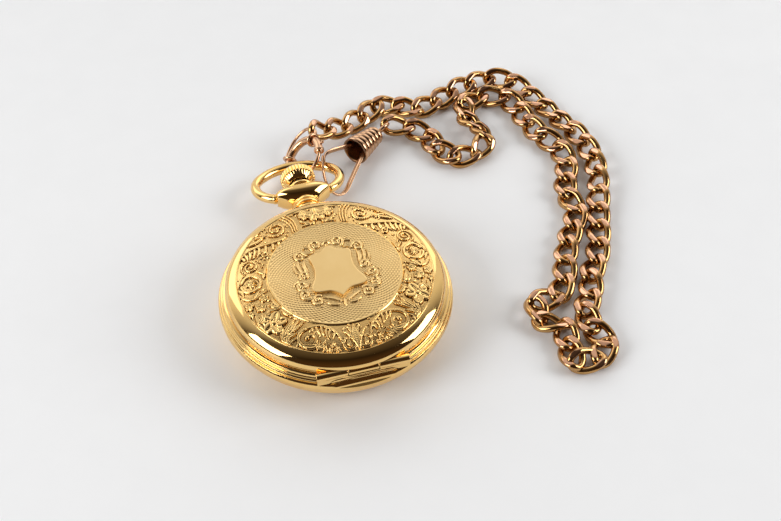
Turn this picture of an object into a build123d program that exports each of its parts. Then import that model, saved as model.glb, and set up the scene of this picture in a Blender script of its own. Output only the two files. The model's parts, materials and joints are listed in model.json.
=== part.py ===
from build123d import *

import math
import os

# Pocket watch with a hinged front cover, its bow, two chain clasps and a curb chain.
# Frame: origin on the case axis at the flat face the back rests on, +Z out of the front
# cover, +Y to 12 o'clock (pendant and crown), +X to 3 o'clock. Millimetres throughout.

# ---- driving dimensions: case ----
CASE_R = 23.5            # widest radius of the case band
BAND_Z = 6.4             # height of that widest radius
BACK_SEAM_Z = 4.6        # seam between back cover and band
BACK_REST_R = 15.0       # flat the watch lies on
BACK_R = 22.7            # back cover radius at the seam
WALL = 0.8               # wall of the front cover
BACK_FLOOR_Z = 0.65      # inside face of the back cover
LID_RIM_Z = 9.0          # lower edge of the front cover
LID_R = 21.9             # radius of the front cover's rim
LID_BAND_R, LID_BAND_Z = 19.65, 12.1    # outer edge of the engraved band
LID_FIELD_R, LID_FIELD_Z = 13.2, 13.25  # edge of the centre field
LID_TOP_Z = 13.45
BORE_R = 19.3            # inner bore of the case middle

# ---- driving dimensions: hinge ----
HINGE_Y, HINGE_Z = -21.3, 9.0
KNUCKLE_R, HINGE_PIN_R = 0.85, 0.42
KNUCKLE_LEN, KNUCKLE_GAP = 6.0, 0.1
FACET_Z = 6.9            # the flat chord cut across the band under the hinge starts here
CLEAR = 0.05             # radial running clearance

# ---- driving dimensions: pendant, crown, bow ----
STEM_Z = 6.3
NECK_Y = 22.6
BALL_Y = 29.3
BALL_HALF_W, BALL_HALF_T = 5.7, 3.25
CROWN_R, CROWN_Y0, CROWN_Y1 = 3.8, 32.0, 35.7
CROWN_FLUTES = 30
STEM_R = 0.6
BOW_WIRE_R = 1.05
BOW_DROOP = 14.8         # degrees the bow hangs below the stem line at rest
BOW_ARCS = ((5.93, 65.0), (5.6, 45.0))   # (radius, turn) from each pivot; one arc closes the top
BOW_START_HEADING = 25.0
BOW_PIVOT_X = 5.9
PIVOT_PIN_R = 0.6

# ---- driving dimensions: movement levels (z) ----
MOVEMENT_R = 18.2
RATCHET_Z = (1.25, 1.65)
BRIDGE_Z = (1.75, 2.95)
PLATE_Z = (5.5, 7.2)
DIAL_Z = (7.75, 8.1)
MOTION_RECESS_Z = 6.5

# ---- arbor places in the movement (x, y) ----
CENTRE = (0.0, 0.0)
BARREL_AT = (-7.2, 5.7)
THIRD_AT = (-6.6, -6.4)
FOURTH_AT = (0.0, -8.6)
ESCAPE_AT = (5.6, -12.2)
PALLET_AT = (8.9, -9.3)
BALANCE_AT = (10.4, -1.8)
CROWN_WHEEL_AT = (0.0, 12.3)
CROWN_HUB_R = 1.5
MINUTE_WHEEL_AT = (2.9, 2.13)
CLICK_AT = (-12.3, -2.6)

# ---- tooth counts ----
T_BARREL, T_CENTRE_PINION = 78, 12
T_CENTRE, T_THIRD_PINION = 80, 10
T_THIRD, T_FOURTH_PINION = 75, 10
T_FOURTH, T_ESCAPE_PINION = 80, 8
T_CANNON, T_MINUTE, T_MINUTE_PINION, T_HOUR = 12, 36, 10, 40
T_RATCHET, T_CROWN_WHEEL, T_WINDING_PINION = 42, 28, 14

# ---- clasps ----
RING_AT = (3.2, 42.4, 4.05)   # centre of the bolt ring
RING_R, RING_TUBE_R = 4.6, 0.9
RING_TILT = 42.0             # its right side is lifted by this many degrees
BOLT_R = 0.42
TRIGGER_ANGLE = 0.0          # where the bolt's thumb trigger stands while shut
BAIL_ANGLE = 52.0            # where the chain's bail sits on the ring
BAIL_R, BAIL_WIRE_R = 2.35, 0.32
EYE_TURN = 120.0             # how the swivel eye is turned to take the last link
CLIP_MOUTH = (14.9, 42.1, 3.55)
CLIP_NECK = (21.3, 47.2, 2.75)
CLIP_MOUTH_R, CLIP_NECK_R = 3.3, 2.1
CLIP_RIBS = 6
CLIP_WIRE_R = 0.42

# ---- chain ----
LINK_WIRE_R = 0.62
LINK_HALF_W = 2.05           # centreline half width of a link
LINK_INNER = 5.6             # inner length of a link
LINK_PITCH = 5.05            # shortest joint-to-joint length
LINK_ROLL = 45.0             # links lie alternately rolled to each side
CHAIN_Z = 2.15               # height of the chain's axis where it lies flat
CHAIN_RUNS = 3               # the knot at the far end lies in the middle run
# Route of the chain, chosen by hand: from the bolt ring's bail along the outer strand,
# round the knot at the far end and back along the inner strand to the clip's eye.
CHAIN_ROUTE = [
    (6.95, 48.2, 6.5), (12, 51, 3), (18, 53, CHAIN_Z), (24, 58, CHAIN_Z),
    (28.5, 58, CHAIN_Z), (30.5, 53.5, CHAIN_Z), (36, 54, CHAIN_Z), (42, 57.5, CHAIN_Z),
    (50, 59.5, CHAIN_Z), (56.5, 59.5, CHAIN_Z), (60.5, 51.5, CHAIN_Z), (63.5, 44, CHAIN_Z),
    (66.5, 35, CHAIN_Z), (67, 27, CHAIN_Z), (64.5, 18, CHAIN_Z), (61.5, 11.5, CHAIN_Z),
    (59.5, 5.5, CHAIN_Z), (57, 0, CHAIN_Z), (54.5, -4.5, CHAIN_Z), (50.5, -7.5, CHAIN_Z),
    (52, -12, CHAIN_Z), (46.5, -15, CHAIN_Z), (47.5, -18.5, CHAIN_Z), (51, -20.5, CHAIN_Z),
    (49, -25.5, CHAIN_Z), (43.5, -27.5, CHAIN_Z), (39.5, -24, CHAIN_Z), (43.5, -20, CHAIN_Z),
    (43, -15.5, CHAIN_Z), (38, -15, CHAIN_Z), (38.5, -8.5, CHAIN_Z), (44.5, -9.5, CHAIN_Z),
    (47, -7, CHAIN_Z), (48.5, -2.5, CHAIN_Z), (50.5, 2.5, CHAIN_Z), (54, 8, CHAIN_Z),
    (58.5, 13, CHAIN_Z), (56, 19.5, CHAIN_Z), (60, 25.5, CHAIN_Z), (62, 31, CHAIN_Z),
    (57.5, 36.5, CHAIN_Z), (56, 43, CHAIN_Z), (56, 51.5, CHAIN_Z), (50, 54.5, CHAIN_Z),
    (43.5, 54, CHAIN_Z), (42.5, 45.5, CHAIN_Z), (47.5, 41, CHAIN_Z), (41.5, 34.5, CHAIN_Z),
    (32.5, 36.5, CHAIN_Z), (34.5, 43, CHAIN_Z), (29.5, 49, 2.3), (24.5, 49.5, 2.9),
]


def disc(radius, z0, z1, at=CENTRE):
    """A plain cylinder between two heights."""
    return Pos(at[0], at[1], z0) * Cylinder(radius, z1 - z0, align=(Align.CENTER, Align.CENTER, Align.MIN))


def ring(outer, inner, z0, z1, at=CENTRE):
    return disc(outer, z0, z1, at) - disc(inner, z0 - 1, z1 + 1, at)


def rod_y(radius, y0, y1, x=0.0, z=STEM_Z):
    """A cylinder along +Y."""
    body = Cylinder(radius, y1 - y0, align=(Align.CENTER, Align.CENTER, Align.MIN))
    return Pos(x, y0, z) * Rot(-90, 0, 0) * body


def ring_y(outer, inner, y0, y1):
    return rod_y(outer, y0, y1) - rod_y(inner, y0 - 1, y1 + 1)


def rod_x(radius, x0, x1, y, z):
    """A cylinder along +X."""
    body = Cylinder(radius, x1 - x0, align=(Align.CENTER, Align.CENTER, Align.MIN))
    return Pos(x0, y, z) * Rot(0, 90, 0) * body


def block(x0, x1, y0, y1, z0, z1):
    return Pos(x0, y0, z0) * Box(x1 - x0, y1 - y0, z1 - z0, align=(Align.MIN,) * 3)


def turned(points):
    """A solid of revolution about Z from a closed (radius, z) outline."""
    outline = Polyline(*points, close=True)
    return revolve(Plane.XZ * make_face(outline), Axis.Z)


def turned_y(points, x=0.0, z=STEM_Z):
    """A solid of revolution about the stem line from a closed (radius, y) outline."""
    outline = Polyline(*points, close=True)
    return Pos(x, 0, z) * revolve(make_face(outline), Axis.Y)


def polar(radius, degrees):
    angle = math.radians(degrees)
    return radius * math.cos(angle), radius * math.sin(angle)


def gear_module(a, b, teeth_a, teeth_b):
    return 2 * math.dist(a, b) / (teeth_a + teeth_b)


def gear(teeth, module, z0, z1, at, tooth_at, bore=0.0):
    """A spur gear with straight-sided teeth; one tooth is centred at the angle tooth_at."""
    pitch_r = teeth * module / 2
    tip, root = pitch_r + 0.75 * module, pitch_r - 1.15 * module
    step = 360 / teeth
    points = []
    for i in range(teeth):
        middle = tooth_at + i * step
        for radius, share in ((root, -0.34), (tip, -0.13), (tip, 0.13), (root, 0.34)):
            points.append(polar(radius, middle + share * step))
    face = make_face(Polyline(*points, close=True))
    body = Pos(at[0], at[1], z0) * extrude(face, z1 - z0)
    return body - disc(bore, z0 - 1, z1 + 1, at) if bore else body


def mesh_angles(a, b, teeth_b):
    """Tooth angle of wheel a towards b, and of wheel b so that a gap faces that tooth."""
    towards = math.degrees(math.atan2(b[1] - a[1], b[0] - a[0]))
    return towards, towards + 180 + 180 / teeth_b


def spokes(body, count, inner, outer, z0, z1, at, start=0.0):
    """Cuts windows between a hub of radius inner and a rim of radius outer."""
    window = ring(outer, inner, z0 - 0.1, z1 + 0.1, at)
    for i in range(count):
        arm = Pos(at[0], at[1], 0) * Rot(0, 0, start + i * 360 / count)
        window -= arm * block(0, outer + 1, -0.28, 0.28, z0 - 1, z1 + 1)
    return body - window


def cut_disc(radius, x0, x1, y0, y1, z0, z1):
    """The part of a disc on the case axis that lies inside a block."""
    return disc(radius, z0, z1) & block(x0, x1, y0, y1, z0, z1)


# =====================================================================================
# Case
# =====================================================================================
BAND_OUTLINE = [
    (21.4, BACK_SEAM_Z - 0.7), (21.4, BACK_SEAM_Z), (22.9, BACK_SEAM_Z), (23.3, 5.2),
    (CASE_R, 5.9), (CASE_R, BAND_Z + 0.4), (23.25, 7.25), (22.85, 7.35), (23.0, 7.65),
    (22.75, 8.05), (22.4, 8.1), (22.5, 8.4), (22.2, 8.75), (22.0, LID_RIM_Z - 0.05),
]


def make_case_middle():
    inside = [(20.9, LID_RIM_Z - 0.05), (20.9, 9.6), (20.2, 9.6), (20.2, 8.3), (BORE_R, 8.3),
              (BORE_R, BACK_SEAM_Z - 0.7)]
    body = turned(BAND_OUTLINE + inside)
    body -= rod_y(1.9, BORE_R - 1, CASE_R + 2)
    half = KNUCKLE_LEN / 2
    end = half + KNUCKLE_GAP + KNUCKLE_LEN
    # the hinge lies across a flat chord of the band
    body -= block(-end, end, -CASE_R - 1, HINGE_Y - KNUCKLE_R, FACET_Z, 12)
    body -= rod_x(KNUCKLE_R + 2 * CLEAR, -half - KNUCKLE_GAP, half + KNUCKLE_GAP, HINGE_Y, HINGE_Z)
    knuckles = [(-end, -half - KNUCKLE_GAP), (half + KNUCKLE_GAP, end)]
    for x0, x1 in knuckles:
        knuckle = rod_x(KNUCKLE_R, x0, x1, HINGE_Y, HINGE_Z)
        knuckle += block(x0, x1, HINGE_Y - KNUCKLE_R, HINGE_Y + 0.5, LID_RIM_Z - 1.6, HINGE_Z - 0.05)
        body += knuckle & disc(CASE_R - 0.1, 5, 12)
    body -= rod_x(HINGE_PIN_R + 0.02, -end - 1, end + 1, HINGE_Y, HINGE_Z)
    # slots for the two case springs
    body -= block(-3.2, 3.2, 20.0, 21.05, 8.1, 10)
    body -= block(-2.2, 2.2, -21.05, -20.0, 8.1, 10)
    return body


def make_case_back():
    dome = [
        (0, 0), (BACK_REST_R, 0), (18.5, 0.55), (20.9, 1.75), (22.2, 3.2), (BACK_R, 4.1),
        (BACK_R, BACK_SEAM_Z - 0.05), (21.45, BACK_SEAM_Z - 0.05), (21.45, 3.5),
        (20.4, 2.35), (18.2, 1.15), (BACK_REST_R - 0.2, BACK_FLOOR_Z), (0, BACK_FLOOR_Z),
    ]
    return turned(dome)


def make_front_cover():
    outer = [
        (0, LID_TOP_Z), (LID_FIELD_R, LID_FIELD_Z), (LID_BAND_R, LID_BAND_Z),
        (20.7, 11.6), (21.4, 10.9), (21.8, 10.2), (LID_R, 9.9), (LID_R, LID_RIM_Z),
    ]
    inner = [
        (21.0, LID_RIM_Z), (21.0, 9.9), (20.6, 10.4), (19.4, 11.3),
        (LID_FIELD_R - 0.1, LID_FIELD_Z - WALL), (0, LID_TOP_Z - WALL),
    ]
    body = turned(outer + inner)
    half = KNUCKLE_LEN / 2
    end = half + KNUCKLE_GAP + KNUCKLE_LEN
    body -= block(-end - 1, end + 1, -CASE_R, HINGE_Y, 8, 14)
    for x0, x1 in ((-end - 0.1, -half), (half, end + 0.1)):
        body -= rod_x(KNUCKLE_R + 2 * CLEAR, x0, x1, HINGE_Y, HINGE_Z)
    body += rod_x(KNUCKLE_R, -half, half, HINGE_Y, HINGE_Z)
    body += block(-half, half, HINGE_Y, HINGE_Y + 0.35, LID_RIM_Z, LID_RIM_Z + 0.9)
    body -= rod_x(HINGE_PIN_R + CLEAR, -end, end, HINGE_Y, HINGE_Z)
    # catch lip inside the rim at 12 o'clock
    body += block(-1.6, 1.6, 20.86, 21.1, 9.25, 9.55)
    right = [(0, -6.9), (2.2, -5.2), (4.9, -4.6), (5.5, -3.6), (4.3, -1.2), (4.0, 1.2),
             (4.1, 3.2), (3.7, 4.9), (2.0, 5.4), (0, 6.4)]
    left = [(-x, y) for x, y in reversed(right[1:-1])]
    shield = Polyline(*right, *left, close=True)
    body += Pos(0, 0, LID_TOP_Z - 0.5) * extrude(make_face(shield), 0.75)
    return body


def make_hinge_pin():
    end = KNUCKLE_LEN * 1.5 + KNUCKLE_GAP
    return rod_x(HINGE_PIN_R, -end, end, HINGE_Y, HINGE_Z)


def make_catch_spring():
    """Lid catch on the pendant side, shown let go: its nib stands just clear of the cover's lip."""
    leaf = block(-3.0, 3.0, 20.2, 20.42, 8.15, 9.6)
    nib = block(-1.4, 1.4, 20.2, 20.55, 9.6, 9.85)
    return leaf + nib


def make_lift_spring():
    """Leaf that throws the cover open, just behind the hinge knuckle."""
    return block(-2.0, 2.0, -20.36, -20.14, 8.15, 9.4)


# =====================================================================================
# Pendant, crown, bow
# =====================================================================================
def ball_section(y, half_w, half_t):
    return Pos(0, y, STEM_Z) * Rot(90, 0, 0) * Ellipse(half_w, half_t)


def make_pendant():
    sections = [
        ball_section(26.2, 2.75, 2.7), ball_section(27.4, 4.6, 3.05),
        ball_section(28.7, BALL_HALF_W + 0.25, BALL_HALF_T),
        ball_section(29.9, BALL_HALF_W + 0.25, BALL_HALF_T),
        ball_section(31.0, 4.6, 3.0),
    ]
    body = loft(sections)
    body = body & block(-BALL_HALF_W, BALL_HALF_W, 20, 35, 0, 14)
    body += turned_y([(0, NECK_Y), (2.55, NECK_Y), (2.55, 24.2), (3.1, 24.4), (3.1, 24.9),
                      (2.7, 25.1), (2.95, 25.4), (2.95, 25.8), (2.6, 26.3), (0, 26.3)])
    body -= turned(BAND_OUTLINE + [(0, LID_RIM_Z - 0.05), (0, BACK_SEAM_Z - 0.7)])
    body -= disc(BACK_R + 0.05, 3, BACK_SEAM_Z)
    body -= rod_y(1.3, NECK_Y - 1, 32)
    for side in (-1, 1):
        body -= rod_x(PIVOT_PIN_R + CLEAR, min(side * 3.2, side * 7), max(side * 3.2, side * 7),
                      BALL_Y, STEM_Z)
    return body


def make_pendant_tube():
    return rod_y(1.28, BORE_R + 0.1, 33.0) - rod_y(STEM_R + CLEAR, BORE_R - 1, 34)


def make_crown():
    outline = [(0, CROWN_Y1), (2.6, CROWN_Y1), (3.3, CROWN_Y1 - 0.25), (CROWN_R, CROWN_Y1 - 0.9),
               (CROWN_R, CROWN_Y0 + 0.5), (3.4, CROWN_Y0), (1.95, CROWN_Y0), (1.95, 34.6), (0, 34.6)]
    body = turned_y(outline)
    for i in range(CROWN_FLUTES):
        x, z = polar(CROWN_R + 0.12, i * 360 / CROWN_FLUTES)
        body -= rod_y(0.24, CROWN_Y0 - 1, CROWN_Y1 - 0.45, x, STEM_Z + z)
    return body - rod_y(STEM_R - 0.01, 34, 35.2)


def make_stem():
    body = rod_y(STEM_R - 0.02, 9.5, 35.0)
    body -= ring_y(1.0, 0.4, 10.6, 11.3)
    return body


def make_crown_gasket():
    return ring_y(1.9, 1.32, 32.2, 32.8)


def bow_place(solid):
    """Puts a solid drawn in the flat bow plane (x, u, 0) at the drooped rest pose."""
    return Pos(0, BALL_Y, STEM_Z) * Rot(-BOW_DROOP, 0, 0) * solid


def make_bow():
    start, heading, half = Vector(BOW_PIVOT_X, 0), BOW_START_HEADING, []
    for radius, turn in BOW_ARCS:
        arc = JernArc(start=start, tangent=polar(1, heading), radius=radius, arc_size=turn)
        half.append(arc)
        start = arc @ 1
        heading += turn
    turn = 180 - heading
    half.append(JernArc(start=start, tangent=polar(1, heading),
                        radius=start.X / math.sin(math.radians(turn)), arc_size=turn))
    parts = []
    for arc in half:
        plane = Plane(origin=arc @ 0, z_dir=arc % 0)
        parts.append(sweep(plane * Circle(BOW_WIRE_R), path=Edge(arc.wrapped)))
    side = parts[0] + parts[1] + parts[2]
    side += Pos(BOW_PIVOT_X, 0, 0) * Sphere(BOW_WIRE_R + 0.12)
    side -= block(BOW_PIVOT_X - 3, BOW_PIVOT_X - 0.1, -3, 3, -3, 3)
    side = side & block(0, 20, -5, 30, -5, 5)
    side += rod_x(PIVOT_PIN_R, 3.3, BOW_PIVOT_X + 0.3, 0, 0)
    return bow_place(side + Rot(0, 180, 0) * side)


# =====================================================================================
# Crystal, dial and hands
# =====================================================================================
def make_crystal_bezel():
    return turned([(19.0, 8.4), (20.1, 8.4), (20.1, 9.9), (19.7, 10.2), (18.6, 10.2),
                   (18.6, 9.75), (19.0, 9.75)])


def make_crystal():
    return turned([(0, 9.3), (18.9, 9.0), (18.9, 9.7), (18.4, 9.72), (0, 10.0)])


def make_dial():
    body = disc(18.6, DIAL_Z[0], DIAL_Z[1])
    body -= ring(3.9, 3.6, DIAL_Z[1] - 0.08, 9, FOURTH_AT)
    for hour in range(12):
        x, y = polar(15.6, 90 - 30 * hour)
        if hour != 6:
            body += Pos(x, y, 0) * Rot(0, 0, -30 * hour) * block(-0.35, 0.35, -1.2, 1.2, 8.0, 8.2)
    return body - disc(1.05, 7, 9) - disc(0.35, 7, 9, FOURTH_AT)


def hand(length, width, tail, z0, z1, hub_r, bore, at=CENTRE):
    blade = Polyline((-width / 3, -tail), (width / 3, -tail), (width, length * 0.35),
                     (0.1, length), (-0.1, length), (-width, length * 0.35), close=True)
    body = Pos(at[0], at[1], z0) * extrude(make_face(blade), z1 - z0)
    body += disc(hub_r, z0, z1, at)
    return body - disc(bore, z0 - 1, z1 + 1, at)


# =====================================================================================
# Movement plates
# =====================================================================================
ARBOR_R = 0.25
PIVOT_HOLE_R = ARBOR_R + 0.04
WHEEL_ARBORS = (THIRD_AT, FOURTH_AT, ESCAPE_AT, PALLET_AT, BALANCE_AT)


def make_movement_ring():
    body = ring(BORE_R - 0.02, MOVEMENT_R + 0.08, 5.2, 7.6)
    return body - rod_y(1.6, 15, 22)


def make_mainplate():
    body = disc(MOVEMENT_R, PLATE_Z[0], PLATE_Z[1])
    body -= disc(6.6, MOTION_RECESS_Z, 8)
    body -= disc(0.62, 5, 8)
    for at in WHEEL_ARBORS:
        body -= disc(PIVOT_HOLE_R, 5, 8, at)
    body -= disc(0.62, 5, 6.4, BARREL_AT)
    body -= block(-1.6, 1.6, 11.9, 15.1, 5, 8)
    body -= rod_y(0.95, 8.2, 20)
    for x, y in BRIDGE_FEET:
        body -= disc(SCREW_R + 0.02, 5, 6.8, (x, y))
    body -= disc(0.31, 6.2, 8, MINUTE_WHEEL_AT)
    return body


SCREW_R = 0.45
BARREL_FEET = ((-15.5, 0.4), (-4.6, 14.9), (7.4, 13.7), (13.6, 7.6))
TRAIN_FEET = ((-14.4, -6.0), (-5.2, -14.7))
COCK_FEET = ((15.3, 3.2),)
PALLET_FEET = ((11.3, -10.8),)
BRIDGE_R = 17.0
BRIDGE_FEET = BARREL_FEET + TRAIN_FEET + COCK_FEET + PALLET_FEET
FOOT_R = 1.25


def on_feet(body, feet, top=PLATE_Z[0]):
    """Adds the feet a bridge stands on, with their screw holes."""
    for at in feet:
        body += disc(FOOT_R, BRIDGE_Z[0], top, at)
        body -= disc(SCREW_R + 0.02, 0, 8, at)
        body -= disc(0.85, 0, BRIDGE_Z[0] + 0.45, at)
    return body


def make_barrel_bridge():
    body = cut_disc(BRIDGE_R, -18, 18, 0.9, 18, *BRIDGE_Z)
    body += disc(2.2, *BRIDGE_Z)
    body -= disc(3.1, 1, 5, BALANCE_AT) + block(7.4, 18.5, -1, 6.0, 1, 5)
    body -= disc(1.05, 1, 4, BARREL_AT)
    body -= disc(CROWN_HUB_R + 0.1, 1, 5, CROWN_WHEEL_AT)
    body -= disc(PIVOT_HOLE_R, 1, 5)
    return on_feet(body, BARREL_FEET)


def make_train_bridge():
    body = cut_disc(BRIDGE_R, -18, 3.2, -18, -2.6, *BRIDGE_Z)
    body += disc(2.6, *BRIDGE_Z, ESCAPE_AT)
    for at in (THIRD_AT, FOURTH_AT, ESCAPE_AT):
        body -= disc(PIVOT_HOLE_R, 1, 5, at)
    body -= disc(1.4, 1, 5, CLICK_AT)
    return on_feet(body, TRAIN_FEET)


def make_balance_cock():
    body = disc(1.9, *BRIDGE_Z, BALANCE_AT) + disc(1.5, *BRIDGE_Z, COCK_FEET[0])
    dx, dy = COCK_FEET[0][0] - BALANCE_AT[0], COCK_FEET[0][1] - BALANCE_AT[1]
    length, angle = math.hypot(dx, dy), math.degrees(math.atan2(dy, dx))
    arm = Pos(BALANCE_AT[0], BALANCE_AT[1], 0) * Rot(0, 0, angle)
    body += arm * block(0, length, -1.3, 1.3, *BRIDGE_Z)
    body -= disc(PIVOT_HOLE_R, 1, 5, BALANCE_AT)
    return on_feet(body, COCK_FEET)


def make_pallet_bridge():
    z0, z1 = 3.3, 3.7
    body = disc(0.8, z0, z1, PALLET_AT) + disc(FOOT_R, z0, PLATE_Z[0], PALLET_FEET[0])
    dx, dy = PALLET_FEET[0][0] - PALLET_AT[0], PALLET_FEET[0][1] - PALLET_AT[1]
    arm = Pos(PALLET_AT[0], PALLET_AT[1], 0) * Rot(0, 0, math.degrees(math.atan2(dy, dx)))
    body += arm * block(0, math.hypot(dx, dy), -0.6, 0.6, z0, z1)
    return body - disc(PIVOT_HOLE_R, 3, 5, PALLET_AT) - disc(SCREW_R + 0.02, 3, 8, PALLET_FEET[0])


def make_regulator():
    """Index lever on the balance cock, held round the cock's boss."""
    z0, z1 = BRIDGE_Z[0] - 0.3, BRIDGE_Z[0] - 0.02
    body = disc(1.5, z0, z1, BALANCE_AT)
    body += Pos(BALANCE_AT[0], BALANCE_AT[1], 0) * Rot(0, 0, 118) * block(0, 4.4, -0.3, 0.3, z0, z1)
    return body - disc(0.7, z0 - 1, z1 + 1, BALANCE_AT)


def make_screws():
    screws = []
    for at in BRIDGE_FEET:
        head_top = BRIDGE_Z[0] + 0.43 if at not in PALLET_FEET else 3.28
        head = disc(0.8, head_top - 0.4, head_top, at) - Pos(at[0], at[1], head_top - 0.4) * Box(2, 0.2, 0.24)
        screws.append(head + disc(SCREW_R, head_top, 6.6, at))
    return Compound(children=screws)


def make_jewels():
    z = BRIDGE_Z[0]
    rows = [(THIRD_AT, z), (FOURTH_AT, z), (ESCAPE_AT, z), (CENTRE, z)]
    return Compound(children=[ring(0.75, PIVOT_HOLE_R, top - 0.32, top - 0.02, at) for at, top in rows])


# =====================================================================================
# Wheels
# =====================================================================================
def arbor(at, z0, z1, radius=ARBOR_R):
    return disc(radius, z0, z1, at)


def make_barrel():
    module = gear_module(BARREL_AT, CENTRE, T_BARREL, T_CENTRE_PINION)
    tooth, _ = mesh_angles(BARREL_AT, CENTRE, T_CENTRE_PINION)
    body = gear(T_BARREL, module, 4.45, 4.75, BARREL_AT, tooth)
    drum_r = T_BARREL * module / 2 - 0.45
    body += disc(drum_r, 3.3, 4.8, BARREL_AT)
    body -= disc(drum_r - 0.3, 3.55, 4.55, BARREL_AT)
    return body - disc(1.02, 3, 5, BARREL_AT)


def make_barrel_arbor():
    body = disc(0.98, RATCHET_Z[1] + 0.02, 5.0, BARREL_AT) + disc(0.58, 4.9, 6.3, BARREL_AT)
    return body + disc(0.55, RATCHET_Z[0] - 0.05, 2.2, BARREL_AT)


def make_mainspring():
    coils = [ring(r, r - 0.22, 3.65, 4.45, BARREL_AT) for r in (2.0, 2.9, 3.8, 4.7, 5.6, 6.5)]
    body = coils[0]
    for coil in coils[1:]:
        body += coil
    spoke = Pos(BARREL_AT[0], BARREL_AT[1], 0) * block(1.85, 6.5, -0.12, 0.12, 3.65, 4.45)
    return body + spoke


def make_centre_wheel():
    module = gear_module(CENTRE, THIRD_AT, T_CENTRE, T_THIRD_PINION)
    tooth, _ = mesh_angles(CENTRE, THIRD_AT, T_THIRD_PINION)
    wheel = gear(T_CENTRE, module, 5.0, 5.25, CENTRE, tooth)
    wheel = spokes(wheel, 5, 1.6, T_CENTRE * module / 2 - 1.0, 5.0, 5.25, CENTRE)
    barrel_module = gear_module(BARREL_AT, CENTRE, T_BARREL, T_CENTRE_PINION)
    _, gap = mesh_angles(BARREL_AT, CENTRE, T_CENTRE_PINION)
    pinion = gear(T_CENTRE_PINION, barrel_module, 4.3, 5.0, CENTRE, gap)
    return wheel + pinion + arbor(CENTRE, 1.9, 4.4) + arbor(CENTRE, 5.2, 8.9, 0.4)


def make_third_wheel():
    module = gear_module(THIRD_AT, FOURTH_AT, T_THIRD, T_FOURTH_PINION)
    tooth, _ = mesh_angles(THIRD_AT, FOURTH_AT, T_FOURTH_PINION)
    wheel = gear(T_THIRD, module, 3.05, 3.25, THIRD_AT, tooth)
    wheel = spokes(wheel, 5, 1.2, T_THIRD * module / 2 - 0.8, 3.05, 3.25, THIRD_AT)
    centre_module = gear_module(CENTRE, THIRD_AT, T_CENTRE, T_THIRD_PINION)
    _, gap = mesh_angles(CENTRE, THIRD_AT, T_THIRD_PINION)
    pinion = gear(T_THIRD_PINION, centre_module, 4.9, 5.35, THIRD_AT, gap)
    return wheel + pinion + arbor(THIRD_AT, 1.9, 6.8)


def make_fourth_wheel():
    module = gear_module(FOURTH_AT, ESCAPE_AT, T_FOURTH, T_ESCAPE_PINION)
    tooth, _ = mesh_angles(FOURTH_AT, ESCAPE_AT, T_ESCAPE_PINION)
    wheel = gear(T_FOURTH, module, 4.1, 4.3, FOURTH_AT, tooth)
    wheel = spokes(wheel, 5, 1.2, T_FOURTH * module / 2 - 0.8, 4.1, 4.3, FOURTH_AT)
    third_module = gear_module(THIRD_AT, FOURTH_AT, T_THIRD, T_FOURTH_PINION)
    _, gap = mesh_angles(THIRD_AT, FOURTH_AT, T_FOURTH_PINION)
    pinion = gear(T_FOURTH_PINION, third_module, 3.0, 3.4, FOURTH_AT, gap)
    return wheel + pinion + arbor(FOURTH_AT, 1.9, 8.5)


def make_escape_wheel():
    """Fifteen hooked teeth above an eight-leaf pinion."""
    points = []
    for i in range(15):
        base = i * 24
        for radius, offset in ((2.35, 0), (3.0, 9), (2.95, 11), (2.3, 8)):
            points.append(polar(radius, base + offset))
    wheel = Pos(ESCAPE_AT[0], ESCAPE_AT[1], 4.6) * extrude(make_face(Polyline(*points, close=True)), 0.2)
    wheel = spokes(wheel, 4, 0.7, 1.9, 4.6, 4.8, ESCAPE_AT)
    module = gear_module(FOURTH_AT, ESCAPE_AT, T_FOURTH, T_ESCAPE_PINION)
    _, gap = mesh_angles(FOURTH_AT, ESCAPE_AT, T_ESCAPE_PINION)
    pinion = gear(T_ESCAPE_PINION, module, 3.9, 4.5, ESCAPE_AT, gap)
    return wheel + pinion + arbor(ESCAPE_AT, 1.9, 6.8)


def make_pallet_fork():
    dx, dy = BALANCE_AT[0] - PALLET_AT[0], BALANCE_AT[1] - PALLET_AT[1]
    along = math.degrees(math.atan2(dy, dx))
    lever = block(-0.4, 6.1, -0.22, 0.22, 4.6, 4.78)
    lever += block(5.9, 6.9, -0.55, -0.3, 4.6, 4.78) + block(5.9, 6.9, 0.3, 0.55, 4.6, 4.78)
    lever += block(5.7, 6.1, -0.55, 0.55, 4.6, 4.78)
    lever += block(-0.5, 0.3, -1.4, 1.4, 4.6, 4.78)
    place = Pos(PALLET_AT[0], PALLET_AT[1], 0) * Rot(0, 0, along)
    return place * lever + arbor(PALLET_AT, 3.32, 6.8)


def make_balance_wheel():
    rim = ring(5.1, 4.5, 3.9, 4.4, BALANCE_AT)
    arm = Pos(BALANCE_AT[0], BALANCE_AT[1], 0) * block(-4.8, 4.8, -0.35, 0.35, 4.0, 4.2)
    body = rim + arm + disc(0.7, 3.9, 4.3, BALANCE_AT) + arbor(BALANCE_AT, 1.9, 6.8)
    for i in range(12):
        x, y = polar(5.25, 15 + i * 30)
        body += disc(0.2, 4.0, 4.3, (BALANCE_AT[0] + x, BALANCE_AT[1] + y))
    return body


def make_hairspring():
    """Flat balance spring between the balance and its cock."""
    coils = [ring(r, r - 0.08, 3.3, 3.5, BALANCE_AT) for r in (1.0, 1.5, 2.0, 2.5, 3.0)]
    body = coils[0]
    for coil in coils[1:]:
        body += coil
    body += Pos(BALANCE_AT[0], BALANCE_AT[1], 0) * block(0.25, 2.98, -0.04, 0.04, 3.3, 3.5)
    return body + ring(0.5, ARBOR_R + 0.01, 3.3, 3.5, BALANCE_AT)


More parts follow.
